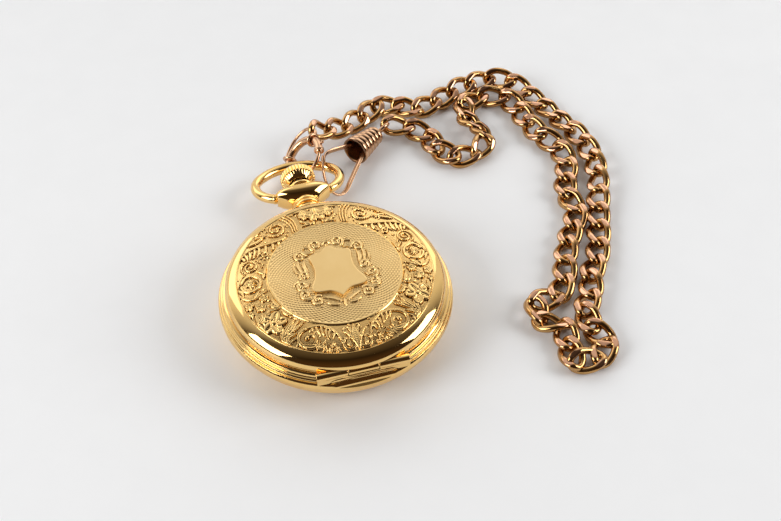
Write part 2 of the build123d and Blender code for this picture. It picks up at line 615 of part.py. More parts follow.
def make_cannon_pinion():
    module = gear_module(CENTRE, MINUTE_WHEEL_AT, T_CANNON, T_MINUTE)
    tooth, _ = mesh_angles(CENTRE, MINUTE_WHEEL_AT, T_MINUTE)
    body = gear(T_CANNON, module, 6.55, 6.95, CENTRE, tooth)
    return body + disc(0.62, 6.9, 9.0) - disc(0.42, 6, 10)


def make_minute_wheel():
    module = gear_module(CENTRE, MINUTE_WHEEL_AT, T_CANNON, T_MINUTE)
    _, gap = mesh_angles(CENTRE, MINUTE_WHEEL_AT, T_MINUTE)
    wheel = gear(T_MINUTE, module, 6.6, 6.8, MINUTE_WHEEL_AT, gap)
    hour_module = gear_module(CENTRE, MINUTE_WHEEL_AT, T_MINUTE_PINION, T_HOUR)
    tooth, _ = mesh_angles(MINUTE_WHEEL_AT, CENTRE, T_HOUR)
    pinion = gear(T_MINUTE_PINION, hour_module, 6.8, 7.6, MINUTE_WHEEL_AT, tooth)
    return wheel + pinion + arbor(MINUTE_WHEEL_AT, 6.3, 7.0, 0.28)


def make_hour_wheel():
    module = gear_module(CENTRE, MINUTE_WHEEL_AT, T_MINUTE_PINION, T_HOUR)
    _, gap = mesh_angles(MINUTE_WHEEL_AT, CENTRE, T_HOUR)
    body = gear(T_HOUR, module, 7.3, 7.5, CENTRE, gap)
    return body + disc(0.95, 7.3, 8.62) - disc(0.67, 6, 10)


def make_ratchet_wheel():
    module = gear_module(BARREL_AT, CROWN_WHEEL_AT, T_RATCHET, T_CROWN_WHEEL)
    tooth, _ = mesh_angles(BARREL_AT, CROWN_WHEEL_AT, T_CROWN_WHEEL)
    return gear(T_RATCHET, module, *RATCHET_Z, BARREL_AT, tooth, bore=0.57)


def make_crown_wheel():
    module = gear_module(BARREL_AT, CROWN_WHEEL_AT, T_RATCHET, T_CROWN_WHEEL)
    _, gap = mesh_angles(BARREL_AT, CROWN_WHEEL_AT, T_CROWN_WHEEL)
    body = gear(T_CROWN_WHEEL, module, *RATCHET_Z, CROWN_WHEEL_AT, gap)
    body += disc(CROWN_HUB_R, RATCHET_Z[1], 4.8, CROWN_WHEEL_AT)
    for i in range(T_WINDING_PINION):
        tooth = Pos(*CROWN_WHEEL_AT, 0) * Rot(0, 0, i * 360 / T_WINDING_PINION)
        body += tooth * block(CROWN_HUB_R - 0.6, CROWN_HUB_R - 0.05, -0.12, 0.12, 4.8, 4.95)
    return body


def make_click():
    """Pawl that keeps the ratchet from unwinding, a small gap short of its teeth."""
    towards = math.degrees(math.atan2(BARREL_AT[1] - CLICK_AT[1], BARREL_AT[0] - CLICK_AT[0]))
    reach = math.dist(BARREL_AT, CLICK_AT) - 6.75
    arm = Pos(CLICK_AT[0], CLICK_AT[1], 0) * Rot(0, 0, towards)
    body = disc(1.1, *RATCHET_Z, CLICK_AT) + arm * block(0, reach, -0.4, 0.4, *RATCHET_Z)
    return body + disc(0.5, RATCHET_Z[1], 2.9, CLICK_AT)


def make_winding_pinion():
    points = []
    for i in range(T_WINDING_PINION):
        for radius, share in ((1.0, -0.3), (1.25, -0.15), (1.25, 0.15), (1.0, 0.3)):
            points.append(polar(radius, (i + share) * 360 / T_WINDING_PINION))
    body = extrude(make_face(Polyline(*points, close=True)), 1.9)
    body = Pos(0, 12.5, STEM_Z) * Rot(-90, 0, 0) * body
    return body - rod_y(STEM_R + 0.02, 12, 15)


# =====================================================================================
# Clasps
# =====================================================================================
def ring_place(solid):
    """Puts a solid drawn round the origin in XY at the bolt ring's tilted rest."""
    return Pos(*RING_AT) * Rot(0, -RING_TILT, 0) * solid


def tube_arc(radius, wire_r, start, turn):
    """Part of a torus, starting at the angle start and turning by turn degrees."""
    return Rot(0, 0, start) * Torus(radius, wire_r, major_angle=turn, align=None)


def make_ring_tube():
    body = tube_arc(RING_R, RING_TUBE_R, -18, 258)
    bore = tube_arc(RING_R, BOLT_R + 0.06, -40, 150)
    socket = tube_arc(RING_R, BOLT_R + 0.06, 232, 20)
    collar = Rot(0, 0, -18) * Pos(RING_R, 0, 0) * Rot(90, 0, 0) * Cylinder(1.12, 0.7)
    # slot for the trigger on the outer side of the tube
    slot = tube_arc(RING_R + 0.8, 0.42, TRIGGER_ANGLE - 4, 34)
    return ring_place(body + collar - bore - socket - slot)


def make_ring_bolt():
    """Spring bolt that closes the ring, with its thumb trigger."""
    body = tube_arc(RING_R, BOLT_R, -118, 128)
    stem = rod_x(0.22, RING_R, RING_R + 1.1, 0, 0)
    trigger = Rot(0, 0, TRIGGER_ANGLE) * (stem + Pos(RING_R + 1.25, 0, 0) * Sphere(0.34))
    return ring_place(body + trigger)


def make_ring_spring():
    """Coil spring behind the bolt, drawn as its envelope tube."""
    return ring_place(tube_arc(RING_R, BOLT_R, 38, 68))


def make_ring_bail():
    at = Rot(0, 0, BAIL_ANGLE) * Pos(RING_R + 1.05, 0, 0) * Rot(90, 0, 0)
    return ring_place(at * Torus(BAIL_R, BAIL_WIRE_R))


def clip_axis_place():
    z_dir = Vector(*CLIP_NECK) - Vector(*CLIP_MOUTH)
    return Plane(origin=CLIP_MOUTH, z_dir=z_dir)


def make_clip_barrel():
    """Ribbed conical sleeve, open at its wide mouth."""
    length = math.dist(CLIP_MOUTH, CLIP_NECK)
    rib = length / CLIP_RIBS
    outline = [(CLIP_MOUTH_R - 0.35, 0)]
    for i in range(CLIP_RIBS):
        radius = CLIP_MOUTH_R + (CLIP_NECK_R - CLIP_MOUTH_R) * (i + 0.5) / CLIP_RIBS
        outline += [(radius - 0.18, i * rib + 0.05), (radius, i * rib + 0.3 * rib),
                    (radius, i * rib + 0.7 * rib), (radius - 0.18, (i + 1) * rib - 0.05)]
    outline += [(CLIP_NECK_R - 0.5, length), (0.47, length), (0.47, length - 1.0),
                (CLIP_NECK_R - 0.75, length - 1.0), (CLIP_MOUTH_R - 0.75, 0.6), (CLIP_MOUTH_R - 0.75, 0)]
    return clip_axis_place() * turned(outline)


def clip_wire(points, radii):
    path = FilletPolyline(*points, radius=radii)
    start = Plane(origin=path @ 0, z_dir=path % 0)
    return sweep(start * Circle(CLIP_WIRE_R), path=path)


CLIP_HOOK_ROUTE = ((6.75, 38.9, 6.35), (5.9, 35.2, 5.2), (6.9, 31.6, 2.0), (10.4, 31.5, 1.15),
                   (16.7, 41.7, 3.4))
CLIP_GATE_ROUTE = ((14.55, 43.75, 3.7), (9.6, 42.9, 5.4), (7.2, 39.9, 5.95))
CLIP_PIVOT = CLIP_GATE_ROUTE[0]


def make_clip_hook():
    return clip_wire(CLIP_HOOK_ROUTE, [1.6, 1.6, 1.6])


def make_clip_gate():
    return clip_wire(CLIP_GATE_ROUTE, [1.2]) + Pos(*CLIP_PIVOT) * Cylinder(0.5, 0.9)


def make_swivel_eye():
    """Turning eye at the barrel's neck that holds the chain's last link."""
    length = math.dist(CLIP_MOUTH, CLIP_NECK)
    shank = Pos(0, 0, length - 1.6) * Cylinder(0.38, 2.15, align=(Align.CENTER, Align.CENTER, Align.MIN))
    head = Pos(0, 0, length - 1.75) * Cylinder(0.9, 0.5, align=(Align.CENTER, Align.CENTER, Align.MIN))
    loop = Pos(0, 0, length + 2.35) * Rot(0, 0, EYE_TURN) * Rot(90, 0, 0) * Torus(1.75, 0.42)
    return clip_axis_place() * (shank + head + loop)


# =====================================================================================
# Chain
# =====================================================================================
def spline_point(points, t):
    """A quadratic B-spline through the first and last control points, t from 0 to 1."""
    spans = len(points) - 2
    value = min(t * spans, spans - 1e-9)
    i = int(value)
    knots = [min(max(k - 2, 0), spans) for k in range(len(points) + 3)]

    def mix(a, b, share):
        return tuple(p + (q - p) * share for p, q in zip(a, b))

    k = i + 2
    d0, d1, d2 = points[i], points[i + 1], points[i + 2]
    a1 = (value - knots[k - 1]) / (knots[k + 1] - knots[k - 1])
    a2 = (value - knots[k]) / (knots[k + 2] - knots[k])
    first, second = mix(d0, d1, a1), mix(d1, d2, a2)
    return mix(first, second, (value - knots[k]) / (knots[k + 1] - knots[k]))


def walk(line, pitch):
    """Points of the line a straight pitch apart, and what is left of it after the last."""
    joints = [line[0]]
    for point in line:
        if math.dist(point, joints[-1]) >= pitch:
            joints.append(point)
    return joints, math.dist(joints[-1], line[-1])


def chain_joints():
    """Points about a link pitch apart along the route, with the last one at its end."""
    line = [spline_point(CHAIN_ROUTE, i / 20000) for i in range(20001)]
    joints, left = walk(line, LINK_PITCH)
    count = len(joints) - 1
    pitch = LINK_PITCH
    while left > 0.02:
        pitch += left / count
        joints, left = walk(line, pitch)
        if len(joints) <= count:
            left = 0.0
            joints.append(line[-1])
    print("chain:", len(joints) - 1, "links,", round((len(joints) - 1) * pitch, 1), "mm")
    return joints


def make_link():
    straight = LINK_INNER + 2 * LINK_WIRE_R - 2 * LINK_HALF_W
    half_turn = Pos(straight / 2, 0, 0) * tube_arc(LINK_HALF_W, LINK_WIRE_R, -90, 180)
    body = half_turn + Rot(0, 0, 180) * half_turn
    for side in (-1, 1):
        body += rod_x(LINK_WIRE_R, -straight / 2, straight / 2, side * LINK_HALF_W, 0)
    return body


def make_chain(groups):
    """Links between neighbouring joints, split into runs of one node each."""
    joints = chain_joints()
    link = make_link()
    links = []
    for i in range(len(joints) - 1):
        a, b = Vector(*joints[i]), Vector(*joints[i + 1])
        along = (b - a).normalized()
        across = Vector(0, 0, 1).cross(along).normalized()
        place = Plane(origin=(a + b) / 2, x_dir=along, z_dir=along.cross(across))
        roll = -LINK_ROLL if i % 2 == 0 else LINK_ROLL
        links.append(place * Rot(roll, 0, 0) * link)
    size = math.ceil(len(links) / groups)
    return [Compound(children=links[i:i + size]) for i in range(0, len(links), size)]


# =====================================================================================
# Write
# =====================================================================================
def build():
    nodes = {
        "case_middle": make_case_middle(), "case_back": make_case_back(),
        "front_cover": make_front_cover(), "hinge_pin": make_hinge_pin(),
        "lid_catch": make_catch_spring(), "lift_spring": make_lift_spring(),
        "pendant": make_pendant(), "pendant_tube": make_pendant_tube(),
        "crown": make_crown(), "winding_stem": make_stem(), "crown_gasket": make_crown_gasket(),
        "bow": make_bow(),
        "crystal_bezel": make_crystal_bezel(), "crystal": make_crystal(), "dial": make_dial(),
        "hour_hand": hand(9.5, 0.75, 1.8, 8.4, 8.55, 1.3, 0.97),
        "minute_hand": hand(14.6, 0.6, 2.2, 8.75, 8.9, 1.1, 0.64),
        "second_hand": hand(3.2, 0.25, 1.1, 8.2, 8.3, 0.5, ARBOR_R + 0.02, FOURTH_AT),
        "movement_ring": make_movement_ring(), "mainplate": make_mainplate(),
        "barrel_bridge": make_barrel_bridge(), "train_bridge": make_train_bridge(),
        "balance_cock": make_balance_cock(), "pallet_bridge": make_pallet_bridge(),
        "regulator": make_regulator(), "bridge_screws": make_screws(), "jewels": make_jewels(),
        "mainspring_barrel": make_barrel(), "barrel_arbor": make_barrel_arbor(),
        "mainspring": make_mainspring(), "centre_wheel": make_centre_wheel(),
        "third_wheel": make_third_wheel(), "fourth_wheel": make_fourth_wheel(),
        "escape_wheel": make_escape_wheel(), "pallet_fork": make_pallet_fork(),
        "balance_wheel": make_balance_wheel(), "hairspring": make_hairspring(),
        "cannon_pinion": make_cannon_pinion(), "minute_wheel": make_minute_wheel(),
        "hour_wheel": make_hour_wheel(), "ratchet_wheel": make_ratchet_wheel(),
        "crown_wheel": make_crown_wheel(), "click": make_click(),
        "winding_pinion": make_winding_pinion(),
        "bolt_ring_tube": make_ring_tube(), "bolt_ring_bolt": make_ring_bolt(),
        "bolt_ring_spring": make_ring_spring(), "bolt_ring_bail": make_ring_bail(),
        "clip_barrel": make_clip_barrel(), "clip_hook": make_clip_hook(),
        "clip_gate": make_clip_gate(), "clip_swivel_eye": make_swivel_eye(),
    }
    for i, run in enumerate(make_chain(CHAIN_RUNS)):
        nodes[f"chain_run_{i + 1}"] = run
    return nodes


if __name__ == "__main__":
    os.makedirs("parts", exist_ok=True)
    for name, solid in build().items():
        export_step(solid, f"parts/{name}.step")
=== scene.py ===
import json
import random
from math import acos, copysign, cos, dist, pi, radians, sin, sqrt, tan

import bpy
import numpy as np
from mathutils import Matrix, Vector


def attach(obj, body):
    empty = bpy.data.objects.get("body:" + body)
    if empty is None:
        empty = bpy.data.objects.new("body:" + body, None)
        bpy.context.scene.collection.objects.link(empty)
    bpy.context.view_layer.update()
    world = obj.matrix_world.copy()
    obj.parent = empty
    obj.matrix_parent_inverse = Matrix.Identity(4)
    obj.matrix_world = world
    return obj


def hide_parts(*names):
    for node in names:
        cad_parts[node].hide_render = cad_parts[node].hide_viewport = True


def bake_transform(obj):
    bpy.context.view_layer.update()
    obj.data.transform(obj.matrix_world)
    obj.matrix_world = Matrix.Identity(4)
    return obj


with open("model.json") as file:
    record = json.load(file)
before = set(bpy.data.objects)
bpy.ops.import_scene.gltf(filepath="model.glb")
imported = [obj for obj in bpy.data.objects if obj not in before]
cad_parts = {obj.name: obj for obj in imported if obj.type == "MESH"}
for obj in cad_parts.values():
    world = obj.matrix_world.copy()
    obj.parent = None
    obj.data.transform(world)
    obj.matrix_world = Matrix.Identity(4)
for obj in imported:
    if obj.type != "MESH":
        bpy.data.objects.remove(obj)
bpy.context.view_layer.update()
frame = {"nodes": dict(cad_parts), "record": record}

# A closed hunter pocket watch with its bow, bolt ring, clip and curb chain. All sizes
# below are millimetres in the CAD's frame: origin on the case axis at the back's rest
# face, +Y towards the crown, +Z out of the front cover.
MM = 0.001
STEM_Z = 6.3                                    # height of the stem's axis
BALL_Y = 29.3                                   # where the bow pivots on the pendant
HINGE_Y, HINGE_Z = -21.3, 9.0
FIELD_R, BAND_R, RIM_R = 13.2, 19.65, 21.9      # cover: turned field, engraved band, rim
TOP_Z, FIELD_Z, BAND_Z = 13.45, 13.25, 12.1     # cover: heights at centre, field, band
BAND_MID_R = (FIELD_R + BAND_R) / 2
KNUCKLE_R, KNUCKLE_END = 0.85, 9.1
# places for lathe parts whose axis is the stem, the hinge or the bow's pivot line
ON_STEM = ((0, 0, STEM_Z), (1, 0, 0), (0, 0, -1), (0, 1, 0))
ON_HINGE = ((0, HINGE_Y, HINGE_Z), (0, 1, 0), (0, 0, 1), (1, 0, 0))
ON_PIVOT = ((0, BALL_Y, STEM_Z), (0, 1, 0), (0, 0, 1), (1, 0, 0))


# ---- Materials ----
class Shader:
    """A new material's node tree, with a short way to add each kind of node."""

    def __init__(self, name):
        self.material = bpy.data.materials.new(name)
        self.material.use_nodes = True
        self.tree = self.material.node_tree
        self.inputs = self.tree.nodes["Principled BSDF"].inputs

    def set(self, name, value):
        """Gives a node's output or a fixed value to one of the shader's inputs."""
        if isinstance(value, bpy.types.NodeSocket):
            self.tree.links.new(value, self.inputs[name])
        else:
            self.inputs[name].default_value = value

    def noise(self, scale, detail=3.0, rough=0.55):
        place = self.tree.nodes.new("ShaderNodeTexCoord")
        texture = self.tree.nodes.new("ShaderNodeTexNoise")
        texture.inputs["Scale"].default_value = scale
        texture.inputs["Detail"].default_value = detail
        texture.inputs["Roughness"].default_value = rough
        self.tree.links.new(place.outputs["Object"], texture.inputs["Vector"])
        return texture.outputs["Fac"]

    def mixed(self, factor, a, b):
        node = self.tree.nodes.new("ShaderNodeMix")
        node.data_type = "RGBA"
        self.tree.links.new(factor, node.inputs["Factor"])
        for socket, value in ((node.inputs["A"], a), (node.inputs["B"], b)):
            if isinstance(value, tuple):
                socket.default_value = (*value, 1)
            else:
                self.tree.links.new(value, socket)
        return node.outputs["Result"]

    def bump(self, height, depth):
        node = self.tree.nodes.new("ShaderNodeBump")
        node.inputs["Distance"].default_value = depth * MM
        self.tree.links.new(height, node.inputs["Height"])
        self.set("Normal", node.outputs["Normal"])


def ramp(tree, source, low, high, at_low, at_high):
    """Maps a source's stretch at_low..at_high onto low..high."""
    node = tree.nodes.new("ShaderNodeMapRange")
    for name, value in (("From Min", at_low), ("From Max", at_high), ("To Min", low), ("To Max", high)):
        node.inputs[name].default_value = value
    tree.links.new(source, node.inputs["Value"])
    return node.outputs["Result"]


def metal(name, colour, worn, rough=(0.1, 0.2), grain=900.0, grain_depth=0.004, painted_shade_and_cut_tint=None):
    """A metal with cloudy colour and gloss, fine handling marks, and a second colour laid on by a mesh
    attribute.

    The last argument is (colour, attribute): the mesh attribute says how much of the colour a point has. In
    the hollows of the engraving and the clip barrel this colour is painted shade; on the chain it is the cut
    flats' own tint.
    """
    shader = Shader(name)
    clouds = shader.noise(160.0)
    tint = shader.mixed(ramp(shader.tree, clouds, 0.0, 1.0, 0.35, 0.7), colour, worn)
    # mixes in the second colour: painted shade in hollows, and the cut flats' own tint on the chain
    if painted_shade_and_cut_tint:
        depth = shader.tree.nodes.new("ShaderNodeAttribute")
        depth.attribute_name = painted_shade_and_cut_tint[1]
        tint = shader.mixed(depth.outputs["Fac"], tint, painted_shade_and_cut_tint[0])
    shader.set("Base Color", tint)
    shader.set("Roughness", ramp(shader.tree, shader.noise(420.0, 6.0, 0.7), *rough, 0.3, 0.75))
    shader.set("Metallic", 1.0)
    shader.bump(shader.noise(grain, 4.0, 0.6), grain_depth)
    return shader.material


GOLD = (0.95, 0.64, 0.25)
GOLD_WORN = (0.90, 0.57, 0.20)
# a brown painted as shade into the hollows of the engraved band and the turned field
PAINTED_SHADE_BROWN = (0.22, 0.095, 0.022)
gold = metal("polished_gold", GOLD, GOLD_WORN, (0.045, 0.10), grain_depth=0.0006)
gold_relief = metal("engraved_gold", GOLD, GOLD_WORN, (0.14, 0.24), painted_shade_and_cut_tint=(PAINTED_SHADE_BROWN, "recess_shade"))
gold_satin = metal("satin_gold", (0.93, 0.66, 0.29), (0.88, 0.60, 0.25), (0.26, 0.34),
                   painted_shade_and_cut_tint=(PAINTED_SHADE_BROWN, "recess_shade"))
gold_satin_plain = metal("satin_gold_plain", (0.87, 0.62, 0.28), (0.83, 0.57, 0.24), (0.34, 0.42),
                         1500.0, 0.001)
steel = metal("polished_steel", (0.62, 0.62, 0.63), (0.52, 0.52, 0.54), (0.12, 0.24))
nickel = metal("nickel_plate", (0.70, 0.68, 0.63), (0.60, 0.58, 0.54), (0.22, 0.36), 240.0, 0.006)
gilt = metal("gilt_brass", (0.86, 0.62, 0.27), (0.74, 0.50, 0.20), (0.18, 0.32))
blued = metal("blued_steel", (0.03, 0.06, 0.32), (0.05, 0.03, 0.22), (0.12, 0.22))
rose = metal("antique_rose_gold", (0.58, 0.34, 0.13), (0.42, 0.22, 0.085), (0.08, 0.20),
             500.0, 0.004, painted_shade_and_cut_tint=((0.72, 0.40, 0.25), "cut"))
# the near-black brown is painted shade inside the clip barrel's mouth and between its ribs
rose_pale = metal("worn_rose_gold", (0.70, 0.43, 0.26), (0.54, 0.31, 0.17), (0.14, 0.30),
                  420.0, 0.005, painted_shade_and_cut_tint=((0.16, 0.08, 0.035), "recess_shade"))


def glass_material():
    shader = Shader("watch_glass")
    shader.set("Base Color", (0.98, 0.99, 0.98, 1))
    shader.set("Transmission Weight", 1.0)
    shader.set("IOR", 1.5)
    shader.set("Roughness", ramp(shader.tree, shader.noise(300.0), 0.0, 0.03, 0.4, 0.8))
    return shader.material


def plain(name, colour, worn, rough, grain=300.0, depth=0.003, coat=0.0):
    """A paint, enamel, jewel or rubber surface with faint mottling and grain."""
    shader = Shader(name)
    clouds = ramp(shader.tree, shader.noise(120.0), 0.0, 1.0, 0.35, 0.7)
    shader.set("Base Color", shader.mixed(clouds, colour, worn))
    gloss = ramp(shader.tree, shader.noise(grain), rough * 0.8, rough * 1.2, 0.3, 0.7)
    shader.set("Roughness", gloss)
    shader.set("Coat Weight", coat)
    shader.bump(shader.noise(grain * 2), depth)
    return shader.material


glass = glass_material()
enamel = plain("white_enamel", (0.86, 0.85, 0.80), (0.82, 0.80, 0.74), 0.22, coat=0.6)
black_paint = plain("black_enamel", (0.012, 0.012, 0.014), (0.02, 0.02, 0.022), 0.3)
ruby = plain("ruby", (0.42, 0.01, 0.06), (0.30, 0.005, 0.04), 0.08, coat=1.0)
rubber = plain("gasket_rubber", (0.02, 0.02, 0.02), (0.03, 0.03, 0.03), 0.7)

SLOT_MATERIALS = {
    "gold_polished": gold, "gold_engraved": gold_relief, "steel": steel, "nickel_plate": nickel,
    "gilt_brass": gilt, "glass": glass, "enamel": enamel, "blued_steel": blued, "ruby": ruby,
    "gasket_rubber": rubber, "antique_rose_gold": rose_pale,
}


def dress_cad_nodes():
    """Gives every carried-over CAD node the finish of its own slot."""
    slots = {part["node"]: part["material_slot"] for part in frame["record"]["subparts"]}
    for name, obj in frame["nodes"].items():
        for slot in obj.material_slots:
            slot.material = SLOT_MATERIALS.get(slots.get(name), gold)


# ---- Mesh builders, in millimetres ----
def add_object(name, data):
    obj = bpy.data.objects.new(name, data)
    bpy.context.collection.objects.link(obj)
    return obj


def piece(name, verts, faces, body, material, nodes=(), slot="gold_polished", sharp=40.0):
    """A mesh piece that rides on a body and stands for CAD nodes."""
    mesh = bpy.data.meshes.new(name)
    mesh.from_pydata((np.asarray(verts, float) * MM).tolist(), [], faces)
    mesh.validate()
    mesh.polygons.foreach_set("use_smooth", [True] * len(mesh.polygons))
    mesh.set_sharp_from_angle(angle=radians(sharp))
    obj = add_object(name, mesh)
    mesh.materials.append(material)
    if body:
        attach(obj, body)
    if nodes:
        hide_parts(*nodes)
    return obj


def attribute(obj, name, values):
    layer = obj.data.attributes.new(name, "FLOAT", "POINT")
    layer.data.foreach_set("value", np.asarray(values, np.float32))


def join(parts):
    """Puts (verts, faces) parts into one."""
    verts, faces = [], []
    for part_verts, part_faces in parts:
        start = len(verts)
        verts += [tuple(v) for v in part_verts]
        faces += [tuple(i + start for i in face) for face in part_faces]
    return verts, faces


def rounded(corners, closed=True, steps=4):
    """An outline with its corners rounded; each corner is (a, b, fillet radius)."""
    points = []
    count = len(corners)
    for i, (a, b, fillet) in enumerate(corners):
        p = np.array((a, b), float)
        if not fillet or (not closed and i in (0, count - 1)):
            points.append(tuple(p))
            continue
        before = np.array(corners[i - 1][:2]) - p
        after = np.array(corners[(i + 1) % count][:2]) - p
        lengths = np.linalg.norm(before), np.linalg.norm(after)
        before, after = before / lengths[0], after / lengths[1]
        half = acos(max(-1.0, min(1.0, float(before @ after)))) / 2
        reach = min(fillet / tan(half), 0.48 * min(lengths))
        for k in range(steps + 1):
            t = k / steps
            q = p + before * reach * (1 - t) ** 2 + after * reach * t ** 2
            points.append(tuple(q))
    return points


def bezier(p0, p1, p2, p3, steps):
    t = np.linspace(0, 1, steps + 1)[:, None]
    p0, p1, p2, p3 = (np.array(p, float) for p in (p0, p1, p2, p3))
    return (1 - t) ** 3 * p0 + 3 * t * (1 - t) ** 2 * p1 + 3 * t ** 2 * (1 - t) * p2 + t ** 3 * p3


def polar(centre, radius, angle):
    return centre[0] + radius * cos(angle), centre[1] + radius * sin(angle)


def grid_faces(rows, columns, wrap_columns=True, wrap_rows=False):
    faces = []
    for i in range(rows if wrap_rows else rows - 1):
        for j in range(columns if wrap_columns else columns - 1):
            k, m = (i + 1) % rows, (j + 1) % columns
            faces.append((i * columns + j, i * columns + m, k * columns + m, k * columns + j))
    return faces


def lathe(outline, segments=192, closed=True, wave=None):
    """A surface of revolution about +Z from (radius, height) points.

    wave(angle, radius, height) may change the radius. Points on the axis become one vertex.
    """
    verts, rings = [], []
    for r, z in outline:
        if r < 1e-6:
            rings.append([len(verts)])
            verts.append((0.0, 0.0, z))
            continue
        rings.append(list(range(len(verts), len(verts) + segments)))
        for j in range(segments):
            angle = 2 * pi * j / segments
            verts.append((*polar((0, 0), wave(angle, r, z) if wave else r, angle), z))
    faces = []
    for a, b in zip(rings, rings[1:] + rings[:1] if closed else rings[1:]):
        for j in range(segments):
            m = (j + 1) % segments
            corners = (a[j % len(a)], a[m % len(a)], b[m % len(b)], b[j % len(b)])
            # next to the axis a quad has only three different corners
            face = tuple(dict.fromkeys(corners))
            if len(face) > 2:
                faces.append(face)
    return verts, faces


def turned(corners, segments, closed=True):
    """A lathe part from the corners of an outline, each (radius, height, fillet radius)."""
    return lathe(rounded(corners, closed), segments, closed)


def moved(part, place):
    """Puts a part at (origin, x axis, y axis, z axis)."""
    verts, faces = part
    origin, ex, ey, ez = (np.array(v, float) for v in place)
    verts = np.array(verts, float)
    return origin + verts[:, :1] * ex + verts[:, 1:2] * ey + verts[:, 2:] * ez, faces


def tube(path, radius, sides=20, closed=False, flat=1.0):
    """A round or flattened bar along a path; radius may be a list. Open ends are domed."""
    path = np.array(path, float)
    radii = np.broadcast_to(np.asarray(radius, float), (len(path),))
    if closed:
        tangents = np.roll(path, -1, 0) - np.roll(path, 1, 0)
    else:
        tangents = np.gradient(path, axis=0)
    tangents /= np.linalg.norm(tangents, axis=1)[:, None]
    steep = abs(tangents[0][2]) > 0.95
    normal = np.array((0, 1.0, 0) if steep else (0, 0, 1.0))
    sections = []
    for p, t, r in zip(path, tangents, radii):
        normal = normal - (normal @ t) * t
        normal /= np.linalg.norm(normal)
        sections.append((p, t, normal, np.cross(t, normal), r))
    if not closed:
        def dome(section, way, angles):
            p, t, n, side, r = section
            return [(p + way * t * r * flat * sin(a), t, n, side, r * cos(a)) for a in angles]

        rise = (0.35, 0.7, 1.1, 1.45)
        sections = dome(sections[0], -1, rise[::-1]) + sections + dome(sections[-1], 1, rise)
    verts = []
    for p, _, n, side, r in sections:
        for a in np.linspace(0, 2 * pi, sides, endpoint=False):
            verts.append(p + n * r * flat * cos(a) + side * r * sin(a))
    faces = grid_faces(len(sections), sides, wrap_rows=closed)
    return verts, faces if closed else faces + end_caps(len(verts), sides)


def end_caps(total, sides):
    """The two faces that close a stack of rings at its first and last ring."""
    return [tuple(reversed(range(sides))), tuple(range(total - sides, total))]


def plate(outline, z0, z1, bevel=0.08):
    """A flat plate with softened top and bottom edges, from a closed outline."""
    outline = np.array(outline, float)
    ahead = np.roll(outline, -1, 0) - np.roll(outline, 1, 0)
    ahead /= np.linalg.norm(ahead, axis=1)[:, None]
    inward = np.stack([-ahead[:, 1], ahead[:, 0]], 1)
    x, y = outline.T
    area = np.sum(x * np.roll(y, -1) - y * np.roll(x, -1))
    inward *= 1 if area > 0 else -1
    levels = [(2 * bevel, z0), (bevel, z0), (0.3 * bevel, z0 + 0.3 * bevel), (0, z0 + bevel),
              (0, z1 - bevel), (0.3 * bevel, z1 - 0.3 * bevel), (bevel, z1), (2 * bevel, z1)]
    verts = [(x, y, z) for inset, z in levels for x, y in outline + inward * inset]
    return verts, grid_faces(len(levels), len(outline)) + end_caps(len(verts), len(outline))


def cut(obj, tools):
    """Cuts the tool meshes out of a piece for good."""
    for k, (verts, faces) in enumerate(tools):
        tool = piece(f"cutter_{k}", verts, faces, None, gold)
        modifier = obj.modifiers.new("cut", "BOOLEAN")
        modifier.operation = "DIFFERENCE"
        modifier.solver = "EXACT"
        modifier.object = tool
        graph = bpy.context.evaluated_depsgraph_get()
        graph.update()
        result = bpy.data.meshes.new_from_object(obj.evaluated_get(graph))
        obj.modifiers.clear()
        obj.data = result
        bpy.data.objects.remove(tool)
    obj.data.set_sharp_from_angle(angle=radians(35))


def curve_mesh(curve, place=(0, 0, 0), turn=0.0):
    """A curve's or a text's points and faces."""
    obj = add_object(curve.name, curve)
    obj.location = Vector(place) * MM
    obj.rotation_euler.z = turn
    bpy.context.view_layer.update()
    graph = bpy.context.evaluated_depsgraph_get()
    mesh = bpy.data.meshes.new_from_object(obj.evaluated_get(graph))
    mesh.transform(obj.matrix_world)
    bpy.data.objects.remove(obj)
    return [tuple(v.co / MM) for v in mesh.vertices], [tuple(p.vertices) for p in mesh.polygons]


def box_part(x0, x1, y0, y1, z0, z1):
    verts = [(x, y, z) for x in (x0, x1) for y in (y0, y1) for z in (z0, z1)]
    faces = [(0, 1, 3, 2), (4, 6, 7, 5), (0, 4, 5, 1), (2, 3, 7, 6), (0, 2, 6, 4), (1, 5, 7, 3)]
    return verts, faces


# ---- Engraving: height fields raised stroke by stroke ----
class Relief:
    """Heights over scattered points. Each stroke is laid over the ones before it."""

    def __init__(self, x, y, ground):
        self.x, self.y = x, y
        self.height = ground.copy()
        self.used = np.zeros(len(x), bool)

    def stroke(self, path, widths, top, edge=0.35, groove=0.0, moat=0.12):
        """A rounded ridge with steep sides, a groove along it and a narrow moat beside it."""
        path = np.asarray(path, float)
        widths = np.broadcast_to(np.asarray(widths, float), (len(path),))
        reach = widths.max() * 1.5
        low, high = path.min(0) - reach, path.max(0) + reach
        near = np.nonzero((self.x > low[0]) & (self.x < high[0])
                          & (self.y > low[1]) & (self.y < high[1]))[0]
        if not len(near):
            return
        dx = self.x[near][:, None] - path[None, :, 0]
        dy = self.y[near][:, None] - path[None, :, 1]
        t = np.min(np.hypot(dx, dy) / widths[None, :], axis=1)
        inside, beside = t < 1, (t >= 1) & (t < 1.4)
        body = top * (edge + (1 - edge) * np.sqrt(np.clip(1 - t ** 2, 0, 1)))
        body -= groove * np.exp(-(t / 0.28) ** 2)
        ridge = np.nonzero(inside)[0]
        self.height[near[ridge]] = body[ridge]
        self.used[near[ridge]] = True
        rim = np.nonzero(beside)[0]
        self.height[near[rim]] -= moat * (1 - (t[rim] - 1) / 0.4)


